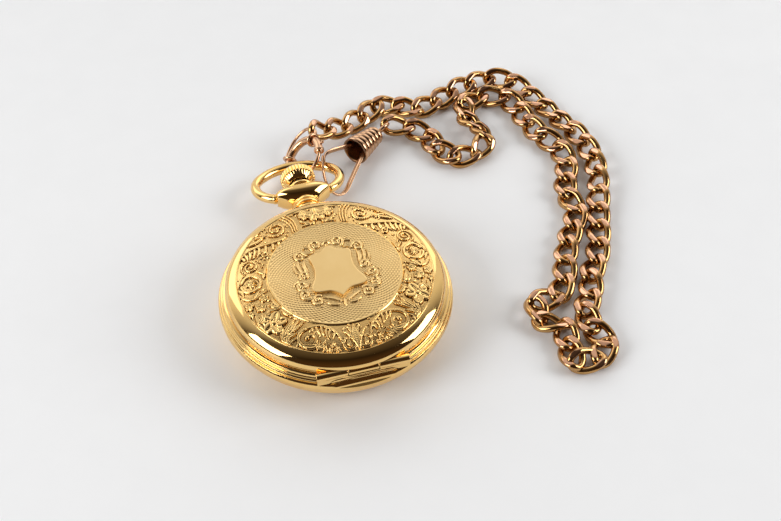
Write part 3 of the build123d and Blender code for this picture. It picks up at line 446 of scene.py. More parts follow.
def arc_path(cx, cy, radius, start, turn, steps=28, end_radius=None):
    """An arc or spiral; angles in degrees."""
    ts = np.linspace(0, 1, steps)
    radii = radius + ((end_radius if end_radius is not None else radius) - radius) * ts
    angles = np.radians(start + turn * ts)
    return np.stack([cx + radii * np.cos(angles), cy + radii * np.sin(angles)], 1)


def leaf_path(base, tip, bend, steps=16):
    base, tip = np.array(base, float), np.array(tip, float)
    along = tip - base
    middle = (base + tip) / 2 + bend * np.array([-along[1], along[0]])
    t = np.linspace(0, 1, steps)[:, None]
    return (1 - t) ** 2 * base + 2 * t * (1 - t) * middle + t ** 2 * tip


def leaf_widths(width, steps=16):
    t = np.linspace(0, 1, steps)
    return np.maximum(width * np.sin(np.pi * t ** 0.8) ** 0.8, 0.07)


class Engraver:
    """Draws ornaments in a local (u, v) frame that place() maps to the cover."""

    def __init__(self, relief, place, top, dice):
        self.relief, self.place, self.top, self.dice = relief, place, top, dice

    def wander(self, amount):
        return self.dice.uniform(-amount, amount)

    def line(self, path, widths, top=1.0, **shape):
        self.relief.stroke(self.place(np.asarray(path, float)), widths, self.top * top, **shape)

    def leaf(self, base, tip, bend=0.2, width=0.42, top=1.0, groove=0.14):
        tip = (tip[0] + self.wander(0.08), tip[1] + self.wander(0.08))
        path = leaf_path(base, tip, bend + self.wander(0.04))
        self.line(path, leaf_widths(width), top, groove=groove)

    def fan(self, base, tips, bend=0.2, width=0.4, top=1.0):
        for tip in tips:
            self.leaf(base, tip, bend, width, top)

    def dot(self, at, radius=0.28, top=1.0):
        self.line([at, at], radius, top, edge=0.1)

    def spiral(self, at, radius, start, turn, width=0.28, inner=0.25, top=1.0):
        path = arc_path(*at, radius, start, turn, 44, radius * inner)
        thick = np.linspace(width, width * 0.75, len(path))
        self.line(path, thick, top, groove=0.08)
        self.dot(tuple(path[-1]), width * 1.25, top * 1.1)

    def flower(self, at, radius, petals=5, turn=0.0, top=1.0):
        for k in range(petals):
            angle = radians(turn + 360 * k / petals) + self.wander(0.08)
            path = leaf_path(at, polar(at, radius, angle), 0.0)
            t = np.linspace(0, 1, len(path))
            wide = np.maximum(radius * 0.44 * np.sin(np.pi * t ** 1.25) ** 0.6, 0.08)
            self.line(path, wide, top * 0.95, edge=0.8, groove=0.17)
            self.line(path[3:-3], 0.07, top * 1.0, moat=0.03)
        self.dot(at, radius * 0.24, top * 1.15)
        for k in range(5):
            self.dot(polar(at, radius * 0.33, radians(72 * k + turn)), radius * 0.075, top * 1.15)

    def blossom(self, at, radius=0.62, top=0.95):
        for k in range(5):
            angle = radians(72 * k) + self.wander(0.3)
            self.dot(polar(at, radius * 0.6, angle), radius * 0.36, top)
        self.dot(at, radius * 0.28, top * 1.1)

    def ribs(self, path, count, reach, lean, width=0.2, top=0.9):
        """Curved ribs hanging from one side of a stem, as in an acanthus leaf."""
        path = np.asarray(path, float)
        for k in range(count):
            i = int((k + 0.7) * (len(path) - 1) / (count + 0.6))
            ahead = path[min(i + 1, len(path) - 1)] - path[max(i - 1, 0)]
            ahead /= np.linalg.norm(ahead)
            side = np.array([-ahead[1], ahead[0]]) * lean
            share = sin(pi * (k + 0.8) / (count + 0.8)) ** 0.6
            tip = path[i] + (side * 0.92 - ahead * 0.5) * reach * share
            rib = leaf_path(path[i], tip, -0.28 * lean, 14)
            self.line(rib, leaf_widths(width, 14), top, groove=0.05)


def engrave_half_band(pen):
    """One side of the band's ornament, from 6 o'clock (u = 0) round to 12 (u = 51.6)."""
    # tulip and heart scrolls at 6 o'clock
    pen.line(arc_path(1.35, 1.35, 1.15, -60, 330, 36), 0.24, groove=0.07)
    pen.leaf((1.2, 2.1), (1.5, 0.4), 0.25, 0.42)
    pen.leaf((0.2, 2.4), (2.7, -1.3), -0.35, 0.42)
    pen.leaf((0.1, 2.0), (1.5, -2.4), -0.28, 0.52)
    # big C scroll with combed leaf inside it
    stem = bezier((2.7, 0.9), (3.4, -2.3), (7.6, -3.8), (10.3, -1.0), 30)
    pen.ribs(stem[6:], 6, 2.4, 1, 0.26)
    pen.line(stem, np.linspace(0.2, 0.34, len(stem)), groove=0.1)
    pen.spiral((8.7, 0.7), 2.3, -46, 400, 0.34, 0.2)
    pen.leaf((9.6, 2.2), (6.6, 1.2), -0.3, 0.5)
    pen.fan((6.9, 2.6), [(5.6, 0.4), (6.6, 0.7), (4.9, 1.3)], 0.15, 0.3)
    for at in ((3.6, 2.3), (4.8, 2.6), (5.8, 2.2), (4.3, 1.5)):
        pen.blossom(at, 0.62)
    # leaf spray between the scroll and the large flower
    pen.fan((12.9, 2.7), [(11.0, -2.6), (12.1, -2.9), (13.3, -2.6), (11.2, 0.2), (14.2, 0.2)], 0.12, 0.42)
    pen.fan((11.6, 2.9), [(10.9, 1.2), (12.6, 0.9), (13.8, 1.9)], 0.2, 0.3)
    pen.leaf((14.6, -2.8), (17.6, -2.5), 0.25, 0.4)
    pen.flower((16.4, 0.6), 2.25, 5, 18)
    pen.fan((18.2, 2.6), [(19.6, 0.6), (20.2, 1.9), (16.6, 2.9)], -0.15, 0.36)
    pen.fan((18.4, -2.7), [(19.2, -0.4), (20.4, -1.4), (21.6, -2.6)], 0.15, 0.38)
    # small flowers and sprays
    for at, size in (((20.9, 0.2), 0.95), ((22.3, 1.9), 0.8), ((22.6, -1.3), 0.85), ((20.6, 2.5), 0.6)):
        pen.flower(at, size, 5, pen.wander(40))
    pen.fan((23.2, 0.4), [(24.3, -2.7), (24.8, 2.7), (25.0, -1.2)], 0.1, 0.36)
    # shell in a ring
    pen.line(arc_path(27.2, 0.2, 1.95, 100, 330, 44), 0.26, groove=0.08)
    for k in range(7):
        pen.leaf((27.2, 0.9), polar((27.2, 0.6), 1.5, radians(200 + 24 * k)), 0.08, 0.2)
    pen.blossom((27.2, 0.9), 0.55)
    pen.fan((26.6, 2.9), [(24.9, 2.0), (28.8, 2.6), (29.6, 1.4)], 0.2, 0.3)
    # rolled rosette
    pen.fan((29.4, -2.6), [(28.0, -2.5), (30.3, -1.0), (31.6, -2.6)], -0.15, 0.34)
    pen.spiral((31.6, 0.5), 1.75, 150, -700, 0.22, 0.18)
    # long combed leaf climbing towards the field
    stem = bezier((33.0, 2.9), (36.8, 2.9), (36.5, -1.2), (42.0, -2.9), 40)
    pen.ribs(stem, 8, 2.9, -1, 0.3)
    pen.line(stem, np.linspace(0.16, 0.36, len(stem)), groove=0.12)
    pen.spiral((35.2, -1.5), 0.95, 90, -420, 0.2, 0.3)
    pen.leaf((36.6, 2.9), (40.4, 1.0), -0.2, 0.34)
    pen.fan((38.2, 2.9), [(40.6, 2.6), (39.8, 0.6)], 0.2, 0.28)
    # rolled scroll with beads
    pen.spiral((42.6, 0.6), 2.05, 190, 520, 0.26, 0.2)
    for k in range(5):
        pen.dot((41.2 + 0.5 * k, 2.85 - 0.08 * k * k), 0.17)
    for k in range(3):
        bar = bezier((45.1, 2.9), (45.7, 1.2), (45.6, -1.2), (44.6, -2.8), 20)
        pen.line(bar + (0.62 * k, 0), 0.17, 0.85, groove=0.03)
    # bouquet at 12 o'clock
    pen.fan((49.6, 2.6), [(47.6, 2.3), (48.0, 0.9), (48.6, -0.6)], 0.15, 0.36)
    pen.fan((49.8, -2.7), [(47.4, -2.5), (47.6, -1.3), (50.8, -1.9)], -0.15, 0.34)
    pen.flower((49.3, 0.3), 1.15, 5, 30)


def band_height(r):
    """Height of the cover's outside face over its engraved band, a smooth crown."""
    slope = 2 * (TOP_Z - FIELD_Z) / FIELD_R
    span = BAND_R - FIELD_R
    fall = (FIELD_Z - BAND_Z - slope * span) / span ** 2
    return FIELD_Z - slope * (r - FIELD_R) - fall * (r - FIELD_R) ** 2


def field_height(r):
    return TOP_Z - (TOP_Z - FIELD_Z) * (r / FIELD_R) ** 2


def relief_piece(name, x, y, base, heights, rows, columns, skirt_depth, material, ground, deepest):
    """A closed slab whose top is the relief grid, rows outward and columns round."""
    top = np.stack([x, y, base + heights], 1)
    inner, outer = top[:columns].copy(), top[-columns:].copy()
    inner[:, 2] = base[:columns] - skirt_depth
    outer[:, 2] = base[-columns:] - skirt_depth
    verts = np.concatenate([top, outer, inner])
    faces = grid_faces(rows + 2, columns, wrap_rows=True)
    obj = piece(name, verts, faces, "lid", material, ("front_cover",), "gold_engraved", sharp=75)
    # painted shade: the deeper a point lies below the given ground level, the more brown it gets, most in the
    # moats beside the strokes
    recess_shade = np.clip((ground - heights) / (ground - deepest), 0, 1) ** 2 * 0.8
    attribute(obj, "recess_shade", np.concatenate([recess_shade, np.zeros(2 * columns)]))
    return obj


def make_engraved_band():
    columns, rows, ground = 1380, 68, -0.20
    radii = np.linspace(FIELD_R + 0.02, BAND_R, rows)
    angles = np.linspace(0, 2 * pi, columns, endpoint=False)
    r = np.repeat(radii, columns)
    a = np.tile(angles, rows)
    x, y = r * np.sin(a), -r * np.cos(a)
    rng = np.random.default_rng(11)
    stipple = 0.012 * rng.standard_normal(len(r))
    relief = Relief(x, y, np.full(len(r), ground) + stipple)
    for side in (1, -1):
        def place(path, side=side):
            angle = side * path[:, 0] / BAND_MID_R
            radius = BAND_MID_R + path[:, 1]
            return np.stack([radius * np.sin(angle), -radius * np.cos(angle)], 1)

        pen = Engraver(relief, place, 0.19, random.Random(5 + side))
        engrave_half_band(pen)
        if side == -1:
            # the pieces that stand on the axis of symmetry
            pen.leaf((0, 2.7), (0, -2.9), 0.0, 0.6)
            pen.flower((pi * BAND_MID_R, 0.1), 2.0, 5, 90)
        # small leaves fill the ground that is still bare
        for _ in range(200):
            u, v = pen.dice.uniform(0.5, 51), pen.dice.uniform(-2.8, 2.8)
            turn, reach = pen.dice.uniform(0, 2 * pi), pen.dice.uniform(0.35, 0.6)
            tip = polar((u, v), reach, turn)
            spot = place(np.array([[u, v]]))[0]
            close = np.hypot(x - spot[0], y - spot[1]) < 0.26
            if not relief.used[close].any():
                pen.leaf((u, v), tip, 0.25, 0.22, 0.4, 0.0)
    # strokes that meet dig their moats no deeper than this
    h = np.maximum(relief.height, ground - 0.12)
    # plain borders frame the ornament
    inner, outer = r - FIELD_R, BAND_R - r
    h = np.where(inner < 0.32, 0.04 - 0.16 * np.exp(-((inner - 0.3) / 0.07) ** 2), h)
    h = np.where(outer < 0.34, 0.0 - 0.15 * np.exp(-((outer - 0.32) / 0.08) ** 2), h)
    relief_piece("engraved_band", x, y, band_height(r), h, rows, columns, 0.5, gold_relief, 0.0, -0.32)


def shield_outline():
    """The plain cartouche: waisted sides, spread foot and a small peak at the top."""
    half = [bezier((0, -6.9), (0.7, -6.2), (1.4, -5.4), (2.3, -5.15), 8),
            bezier((2.3, -5.15), (3.2, -5.0), (4.6, -5.2), (5.3, -4.5), 8),
            bezier((5.3, -4.5), (5.9, -3.6), (4.5, -2.2), (4.1, -0.6), 10),
            bezier((4.1, -0.6), (3.7, 1.0), (4.0, 2.6), (4.2, 3.6), 8),
            bezier((4.2, 3.6), (4.3, 4.4), (3.9, 4.9), (3.4, 4.9), 6),
            bezier((3.4, 4.9), (2.2, 4.8), (1.3, 5.2), (0.9, 5.9), 8),
            bezier((0.9, 5.9), (0.6, 6.3), (0.3, 6.4), (0, 6.4), 5)]
    right = np.concatenate([half[0]] + [part[1:] for part in half[1:]])
    left = right[1:-1][::-1] * (-1, 1)
    return np.concatenate([right, left])


def engrave_frame(pen):
    """C scrolls and leaves round one side of the shield."""
    pen.leaf((0.5, -8.0), (4.0, -6.2), 0.2, 0.36)
    pen.leaf((1.0, -8.6), (3.6, -7.3), -0.2, 0.28)
    pen.spiral((4.9, -6.6), 1.3, 120, -430, 0.32, 0.3)
    pen.leaf((5.4, -5.3), (7.2, -6.0), -0.3, 0.3)
    pen.spiral((6.9, -4.5), 1.15, -120, 420, 0.3, 0.3)
    pen.spiral((7.0, -2.2), 1.2, -90, 420, 0.3, 0.3)
    pen.leaf((5.5, -1.9), (6.2, -3.2), 0.2, 0.22)
    pen.leaf((7.6, -0.9), (8.8, -2.2), 0.3, 0.26)
    pen.spiral((6.0, 0.2), 1.05, -30, 400, 0.28, 0.3)
    pen.leaf((5.1, 0.8), (5.3, 4.2), -0.22, 0.42)
    pen.leaf((6.2, 1.1), (6.3, 4.6), -0.25, 0.34)
    pen.leaf((7.2, 0.9), (7.3, 3.8), -0.22, 0.24)
    pen.spiral((5.9, 5.3), 1.3, 180, -430, 0.32, 0.3)
    pen.leaf((5.0, 6.2), (2.9, 6.0), 0.35, 0.36)
    pen.leaf((4.9, 7.1), (3.5, 7.4), -0.3, 0.26)
    pen.spiral((2.2, 7.6), 1.35, -60, 430, 0.32, 0.3)
    for at in ((4.6, -8.1), (8.3, -3.4), (7.4, -0.2), (7.3, 5.9), (4.2, 8.1)):
        pen.dot(at, 0.17, 0.8)


def make_field():
    """Centre field: turned barleycorn pattern with the scroll frame raised on it."""
    count = 305
    t = np.linspace(-1, 1, count)
    gx, gy = np.meshgrid(t, t)
    gx, gy = gx.ravel(), gy.ravel()
    # square grid spread evenly over a disc
    scale = np.maximum(np.abs(gx), np.abs(gy)) / np.maximum(np.hypot(gx, gy), 1e-9)
    soft = 0.5 + 0.5 * np.maximum(np.abs(gx), np.abs(gy)) ** 4
    scale = scale * soft + (1 - soft) * 0.86
    x, y = gx * scale * FIELD_R, gy * scale * FIELD_R
    r, a = np.hypot(x, y), np.arctan2(y, x)
    rings, waves = 0.60, 64
    first = np.sin(np.pi * r / rings + waves * a / 2)
    second = np.sin(np.pi * r / rings - waves * a / 2)
    pattern = -0.11 * (1 - np.minimum(np.abs(first), np.abs(second)) ** 0.7)
    relief = Relief(x, y, pattern)
    for side in (1, -1):
        def place(path, side=side):
            return path * (side, 1)

        pen = Engraver(relief, place, 0.25, random.Random(21 + side))
        engrave_frame(pen)
        if side == -1:
            pen.leaf((0, -7.4), (0, -9.2), 0.0, 0.34)
            pen.line(arc_path(0, 7.0, 0.95, 20, 140, 20), 0.2, groove=0.05)
            pen.leaf((-0.8, 8.1), (0.8, 8.1), 0.35, 0.3)
            pen.dot((0, 7.1), 0.3)
    h = np.where(r > FIELD_R - 0.22, 0.0, relief.height)
    base = field_height(r)
    ids = np.arange(count * count).reshape(count, count)
    border = np.concatenate([ids[0], ids[1:, -1], ids[-1, -2::-1], ids[-2:0:-1, 0]]).tolist()
    skirt = list(range(count * count, count * count + len(border)))
    verts = np.concatenate([np.stack([x, y, base + h], 1),
                            np.stack([x[border], y[border], base[border] - 0.5], 1)])
    faces = grid_faces(count, count, wrap_columns=False)
    for k in range(len(border)):
        m = (k + 1) % len(border)
        faces.append((border[m], border[k], skirt[k], skirt[m]))
    faces.append(tuple(reversed(skirt)))
    obj = piece("turned_field", verts, faces, "lid", gold_satin, ("front_cover",), "gold_engraved", 75)
    # painted shade: brown by depth in the grooves of the turned pattern and the moats round the frame
    recess_shade = np.clip(-h / 0.12, 0, 1) * 0.5
    attribute(obj, "recess_shade", np.concatenate([recess_shade, np.zeros(len(border))]))
    verts, faces = plate(shield_outline(), field_height(0) - 0.25, field_height(5) + 0.52, 0.12)
    piece("shield", verts, faces, "lid", gold_satin_plain, ("front_cover",), "gold_engraved", sharp=25)


# ---- Case ----
def knuckle(x0, x1):
    """A hinge knuckle round the pin, from x0 to x1."""
    outline = [(0.44, x0, 0), (KNUCKLE_R, x0, 0.12), (KNUCKLE_R, x1, 0.12), (0.44, x1, 0)]
    return moved(turned(outline, 40), ON_HINGE)


def make_cover_shell():
    """Polished shoulder, rim and inside of the front cover, with its middle hinge knuckle."""
    shoulder = bezier((BAND_R, BAND_Z), (21.0, 11.66), (RIM_R, 10.9), (RIM_R, 9.75), 14)
    rim = rounded([(RIM_R, 9.75, 0), (RIM_R, 9.62, 0.03), (RIM_R - 0.14, 9.56, 0.03),
                   (RIM_R - 0.14, 9.44, 0.03), (RIM_R, 9.38, 0.03), (RIM_R, 9.02, 0.12),
                   (21.1, 9.02, 0.1), (21.1, 10.05, 0.05), (20.6, 10.4, 0.1), (19.4, 11.3, 0.6),
                   (13.1, 12.45, 2.0), (0, 12.62, 0)], closed=False)
    under = [(0, 12.8), (12.9, 12.72), (BAND_R - 0.2, 11.75), (BAND_R - 0.02, BAND_Z - 0.12)]
    part = lathe(under + [tuple(p) for p in shoulder] + rim[1:], 288, closed=False)
    obj = piece("cover_shell", *part, "lid", gold, ("front_cover",), sharp=32)
    cut(obj, [box_part(-10.1, 10.1, -25, HINGE_Y, 8, 9.95)])
    half = 2.98
    root = box_part(-half, half, HINGE_Y + 0.1, HINGE_Y + 0.7, HINGE_Z + 0.35, HINGE_Z + 0.95)
    piece("cover_knuckle", *join([knuckle(-half, half), root]), "lid", gold, ("front_cover",))


def make_case_band():
    """Stepped case band with the flat under the hinge and its two outer knuckles."""
    outline = [
        (21.42, 3.95, 0), (21.42, 4.6, 0), (22.85, 4.62, 0.1), (23.3, 5.2, 0.5), (23.52, 6.1, 0.6),
        (23.45, 6.9, 0.5), (23.2, 7.28, 0.12), (22.82, 7.32, 0.05), (22.86, 7.48, 0.05),
        (23.05, 7.66, 0.14), (22.82, 8.05, 0.14), (22.4, 8.1, 0.04), (22.42, 8.22, 0.05),
        (22.5, 8.4, 0.14), (22.35, 8.74, 0.16), (22.0, 8.93, 0.08), (20.9, 8.95, 0.06),
        (20.9, 9.6, 0.1), (20.2, 9.6, 0.1), (20.2, 8.3, 0.1), (19.3, 8.3, 0.1), (19.3, 3.95, 0)]
    obj = piece("case_band", *turned(outline, 360), "case", gold, ("case_middle",), sharp=32)
    stem_hole = moved(lathe([(0, 18), (1.9, 18), (1.9, 26), (0, 26)], 48, closed=False), ON_STEM)
    channel = moved(lathe([(0, -3.1), (0.95, -3.1), (0.95, 3.1), (0, 3.1)], 40, closed=False), ON_HINGE)
    # the flat under the hinge: its section in (y, z), from the band's top down and out
    chord = HINGE_Y - KNUCKLE_R
    section = [(chord + 0.05, 12), (chord, 7.6), (chord - 0.75, 6.55), (-27, 5.4), (-27, 12)]
    facet = ([(x, y, z) for y, z in section for x in (-KNUCKLE_END, KNUCKLE_END)],
             [(0, 1, 3, 2), (2, 3, 5, 4), (4, 5, 7, 6), (6, 7, 9, 8), (8, 9, 1, 0),
              (0, 2, 4, 6, 8), (9, 7, 5, 3, 1)])
    cut(obj, [facet, stem_hole, channel])
    parts = []
    for x0, x1 in ((-KNUCKLE_END, -3.1), (3.1, KNUCKLE_END)):
        parts.append(knuckle(x0, x1))
        parts.append(box_part(x0 + 0.02, x1 - 0.02, HINGE_Y - 0.72, HINGE_Y + 0.3, 7.45, 8.7))
    piece("case_knuckles", *join(parts), "case", gold, ("case_middle",))


def make_back():
    """Polished snap-on back with a fine turned line near its edge and a lifting lip."""
    outline = [
        (0, 0, 0), (14.9, 0, 1.2), (16.9, 0.3, 0.1), (17.0, 0.42, 0.04), (17.1, 0.32, 0.1),
        (18.5, 0.55, 1.0), (20.9, 1.75, 1.5), (22.2, 3.2, 1.0), (22.72, 4.1, 0.4),
        (22.75, 4.52, 0.1), (21.5, 4.54, 0.05), (21.5, 3.5, 0.3), (20.4, 2.35, 0.6),
        (18.2, 1.15, 0.6), (14.8, 0.66, 0.5), (0, 0.66, 0)]
    piece("back_cover", *turned(outline, 288, closed=False), "case", gold, ("case_back",), sharp=32)


def make_pendant():
    """Necked ring stack under a flattened ball whose sides carry the bow."""
    stations, around, flat_x = 40, 64, 5.72
    verts = []
    for t in np.linspace(0, 1, stations + 1):
        # from the front a straight taper towards the neck and a rounded top, from the side an oval
        wide = 0.46 + 0.54 * t / 0.52 if t < 0.52 else sqrt(1 - 0.62 * ((t - 0.52) / 0.48) ** 2)
        thick = sin(pi * (0.12 + 0.78 * t)) ** 0.6
        for j in range(around):
            x, z = polar((0, 0), 1, 2 * pi * j / around)
            x = 6.6 * wide * copysign(abs(x) ** 0.9, x)
            z = 3.3 * thick * copysign(abs(z) ** 0.95, z)
            # the sides are flat where the bow turns
            verts.append((max(-flat_x, min(x, flat_x)), 26.15 + 4.95 * t, STEM_Z + z))
    faces = grid_faces(stations + 1, around) + end_caps(len(verts), around)
    ball = verts, [tuple(reversed(face)) for face in faces]
    neck = [(1.3, 22.4, 0), (2.55, 22.4, 0.1), (2.55, 24.15, 0.3), (3.12, 24.3, 0.2),
            (3.16, 24.85, 0.2), (2.68, 25.05, 0.1), (2.72, 25.25, 0.08), (3.0, 25.35, 0.12),
            (3.0, 25.8, 0.12), (2.62, 26.05, 0.2), (2.55, 26.5, 0.1), (1.3, 26.5, 0)]
    collar = [(1.3, 30.2, 0), (3.0, 30.3, 0.2), (2.9, 30.85, 0.2), (2.3, 31.1, 0.1), (1.3, 31.1, 0)]
    parts = [ball] + [moved(turned(outline, 72), ON_STEM) for outline in (neck, collar)]
    piece("pendant_ball", *join(parts), "case", gold, ("pendant",), sharp=38)


def make_crown():
    """Winding crown with cut flutes and a shallow domed end."""
    flutes = 30
    outline = rounded([
        (1.95, 32.0, 0), (2.5, 32.0, 0.1), (3.0, 32.5, 0.4), (3.5, 33.3, 0.1), (3.8, 33.45, 0.1),
        (3.8, 34.75, 0.3), (3.45, 35.3, 0.2), (2.9, 35.5, 0.2), (2.75, 35.46, 0.05),
        (2.6, 35.6, 0.2), (0, 35.78, 0), (0, 34.6, 0), (1.95, 34.6, 0)], closed=False, steps=5)

    def wave(angle, r, y):
        share = min(1.0, max(0.0, (r - 3.3) / 0.45))
        between = abs(sin(flutes * angle / 2)) ** 0.7
        return r - 0.3 * share * (1 - between)

    fine = []
    for (r0, y0), (r1, y1) in zip(outline, outline[1:]):
        # the fluted stretch gets more rings
        steps = max(1, int(abs(y1 - y0) / 0.25)) if min(r0, r1) > 3.2 else 1
        fine += [(r0 + (r1 - r0) * k / steps, y0 + (y1 - y0) * k / steps) for k in range(steps)]
    part = lathe(fine + outline[-1:], flutes * 12, closed=False, wave=wave)
    piece("crown_fluted", *moved(part, ON_STEM), "crown_group", gold, ("crown",), sharp=50)


def bow_point_list():
    """The bow's wire from the left pivot to the right one, in its own flat plane (x, u)."""
    heading, at, half = 25.0, (5.9, 0.0), []
    # two fillets from the boss up to the bow's shoulder, then one arc over the top
    for radius, turn in ((5.93, 65.0), (5.6, 45.0), (None, 45.0)):
        radius = radius or at[0] / sin(radians(180 - heading))
        centre = polar(at, radius, radians(heading + 90))
        half += [polar(centre, radius, radians(heading - 90 + turn * k / 12)) for k in range(12)]
        heading += turn
        at = polar(centre, radius, radians(heading - 90))
    return [(-x, u) for x, u in half] + [(0.0, at[1])] + half[::-1]


def make_bow():
    droop = radians(14.8)
    flat = bow_point_list()
    path = [(x, BALL_Y + u * cos(droop), STEM_Z - u * sin(droop)) for x, u in flat]
    reach = max(u for _, u in flat)
    radii = [1.02 + 0.1 * u / reach for _, u in flat]
    parts = [tube(path, radii, 32)]
    for side in (-1, 1):
        boss = [(0, 5.78, 0), (0.95, 5.78, 0.1), (1.06, 5.95, 0.15), (1.04, 6.4, 0.4),
                (0.7, 6.8, 0.3), (0, 6.85, 0)]
        pin = [(0, 3.4, 0), (0.58, 3.4, 0), (0.58, 6.0, 0), (0, 6.0, 0)]
        for outline, segments in ((boss, 40), (pin, 24)):
            verts, faces = moved(turned(outline, segments, closed=False), ON_PIVOT)
            parts.append((verts * (side, 1, 1),
                          faces if side > 0 else [tuple(reversed(face)) for face in faces]))
    piece("bow_ring", *join(parts), "bow_ring", gold, ("bow",), sharp=50)


# ---- Clasps ----
RING_AT, RING_R, RING_TILT = (3.2, 42.4, 4.05), 4.6, 42.0
CLIP_MOUTH, CLIP_NECK = (14.9, 42.1, 3.55), (21.3, 47.2, 2.75)
CLIP_LENGTH = dist(CLIP_MOUTH, CLIP_NECK)


def ring_place():
    x, z = polar((0, 0), 1, radians(RING_TILT))
    return RING_AT, (x, 0, z), (0, 1, 0), (-z, 0, x)


def clip_place():
    """At the barrel's mouth, with z along its axis to the neck."""
    z = np.subtract(CLIP_NECK, CLIP_MOUTH) / CLIP_LENGTH
    x = np.cross((0, 0, 1), z)
    x = x / np.linalg.norm(x)
    return CLIP_MOUTH, x, np.cross(z, x), z


def clasp(name, part, node, body="bow_ring", sharp=40.0):
    """A piece of the clasps, in worn rose gold."""
    return piece(name, *part, body, rose_pale, (node,), "antique_rose_gold", sharp)


def ring_arc(radius, start, turn, steps=48):
    angles = [radians(start + turn * k / steps) for k in range(steps + 1)]
    return [(*polar((0, 0), radius, a), 0) for a in angles]


def make_bolt_ring():
    """Hollow snap ring with a collar at its gap; the bolt and its trigger slide inside."""
    parts = [tube(ring_arc(RING_R, -18, 258), 0.9, 28)]
    collar = [(0.5, -0.42, 0), (1.1, -0.42, 0.15), (1.14, 0, 0.2), (1.1, 0.42, 0.15), (0.5, 0.42, 0)]
    for angle in (-17, 238):
        x, y = polar((0, 0), 1, radians(angle))
        round_tube = ((RING_R * x, RING_R * y, 0), (x, y, 0), (0, 0, 1), (y, -x, 0))
        parts.append(moved(turned(collar, 36), round_tube))
    clasp("bolt_ring", moved(join(parts), ring_place()), "bolt_ring_tube")


def make_bail():
    """Wire arc from the bolt ring to the chain, each end curled round the ring."""
    start, end, curl_r = 142, 35, 1.3
    arc = []
    for u in np.linspace(0, 1, 48):
        reach = RING_R + curl_r + 2.1 * sin(pi * u ** 1.6) ** 0.8
        arc.append((*polar((0, 0), reach, radians(start + (end - start) * u)),
                    -0.5 * sin(pi * u)))
    parts = [tube(arc, 0.36, 16)]
    for angle in (start, end):
        curl = []
        for t in np.linspace(0, 2 * pi, 32, endpoint=False):
            out, up = polar((RING_R, 0), curl_r, t)
            curl.append((*polar((0, 0), out, radians(angle)), up))
        parts.append(tube(curl, 0.36, 14, closed=True))
    clasp("chain_bail", moved(join(parts), ring_place()), "bolt_ring_bail")


def make_clip_barrel():
    """Six swelling ribs on a cone, open at its mouth, with painted shade inside the mouth and in the grooves
    between the ribs.
    """
    ribs, mouth, neck = 6, 3.3, 2.1

    def swelling(along):
        return np.abs(np.sin(pi * ribs * along)) ** 0.6

    outline = [(mouth - 0.75, 0.35), (mouth - 0.5, 0.0), (mouth - 0.12, 0.02)]
    for t in np.linspace(0, 1, ribs * 8 + 1):
        outline.append((mouth + (neck - mouth) * t - 0.3 * (1 - swelling(t)), 0.12 + (CLIP_LENGTH - 0.2) * t))
    outline += [(neck - 0.6, CLIP_LENGTH + 0.04), (0.5, CLIP_LENGTH + 0.06), (0.5, CLIP_LENGTH - 1.0),
                (neck - 0.75, CLIP_LENGTH - 1.0)]
    part = lathe(outline, 96)
    obj = clasp("clip_barrel_ribbed", moved(part, clip_place()), "clip_barrel", sharp=60)
    x, y, z = np.array(part[0]).T
    along = z / CLIP_LENGTH
    # painted shade: nearly black inside the mouth, darker in the grooves between the ribs
    inside = np.hypot(x, y) < mouth + (neck - mouth) * along - 0.45
    painted_groove_shade = 0.75 * (1 - swelling(np.clip(along, 0, 1))) ** 2
    attribute(obj, "recess_shade", np.where(inside, 0.9, painted_groove_shade))


def nurbs_line(points):
    """Points along the smooth curve of some given points."""
    curve = bpy.data.curves.new("route", "CURVE")
    curve.dimensions = "3D"
    spline = curve.splines.new("NURBS")
    spline.points.add(len(points) - 1)
    for slot, p in zip(spline.points, points):
        slot.co = (*[c * MM for c in p], 1)
    spline.order_u = 3
    spline.use_endpoint_u = True
    curve.resolution_u = 24
    return curve_mesh(curve)[0]


def make_clip():
    """Flat sprung strip bent into the clip's hook, with the shorter tongue that shuts it."""
    hook = nurbs_line([(6.75, 38.9, 6.35), (6.1, 36.4, 5.7), (6.1, 33.4, 3.6), (7.6, 31.4, 1.8),
                       (9.9, 31.9, 1.2), (12.2, 35.2, 2.0), (16.9, 41.7, 3.4)])
    gate = nurbs_line([(14.6, 43.8, 4.0), (11.8, 42.7, 4.8), (8.9, 41.6, 5.5),
                       (7.4, 40.2, 5.9), (7.0, 38.6, 6.0)])
    clasp("clip_hook_strip", tube(hook, 0.32, 20, flat=2.3), "clip_hook")
    clasp("clip_tongue_strip", tube(gate, 0.28, 20, flat=2.1), "clip_gate", "clip_tongue")


def make_swivel_eye():
    """Shouldered eye that turns in the barrel's neck and takes the last link."""
    loop = []
    for t in np.linspace(0, 2 * pi, 48, endpoint=False):
        out, along = polar((0, CLIP_LENGTH + 2.35), 1.75, t)
        loop.append((*polar((0, 0), out, radians(120)), along))
    shank = [(0, -1.6, 0), (0.38, -1.6, 0.1), (0.38, 0.25, 0.1), (0.62, 0.35, 0.1),
             (0.5, 0.75, 0.15), (0, 0.8, 0)]
    shank = [(r, CLIP_LENGTH + z, fillet) for r, z, fillet in shank]
    parts = [tube(loop, 0.43, 18, closed=True), turned(shank, 28, closed=False)]
    clasp("swivel_eye", moved(join(parts), clip_place()), "clip_swivel_eye", "clip_eye")


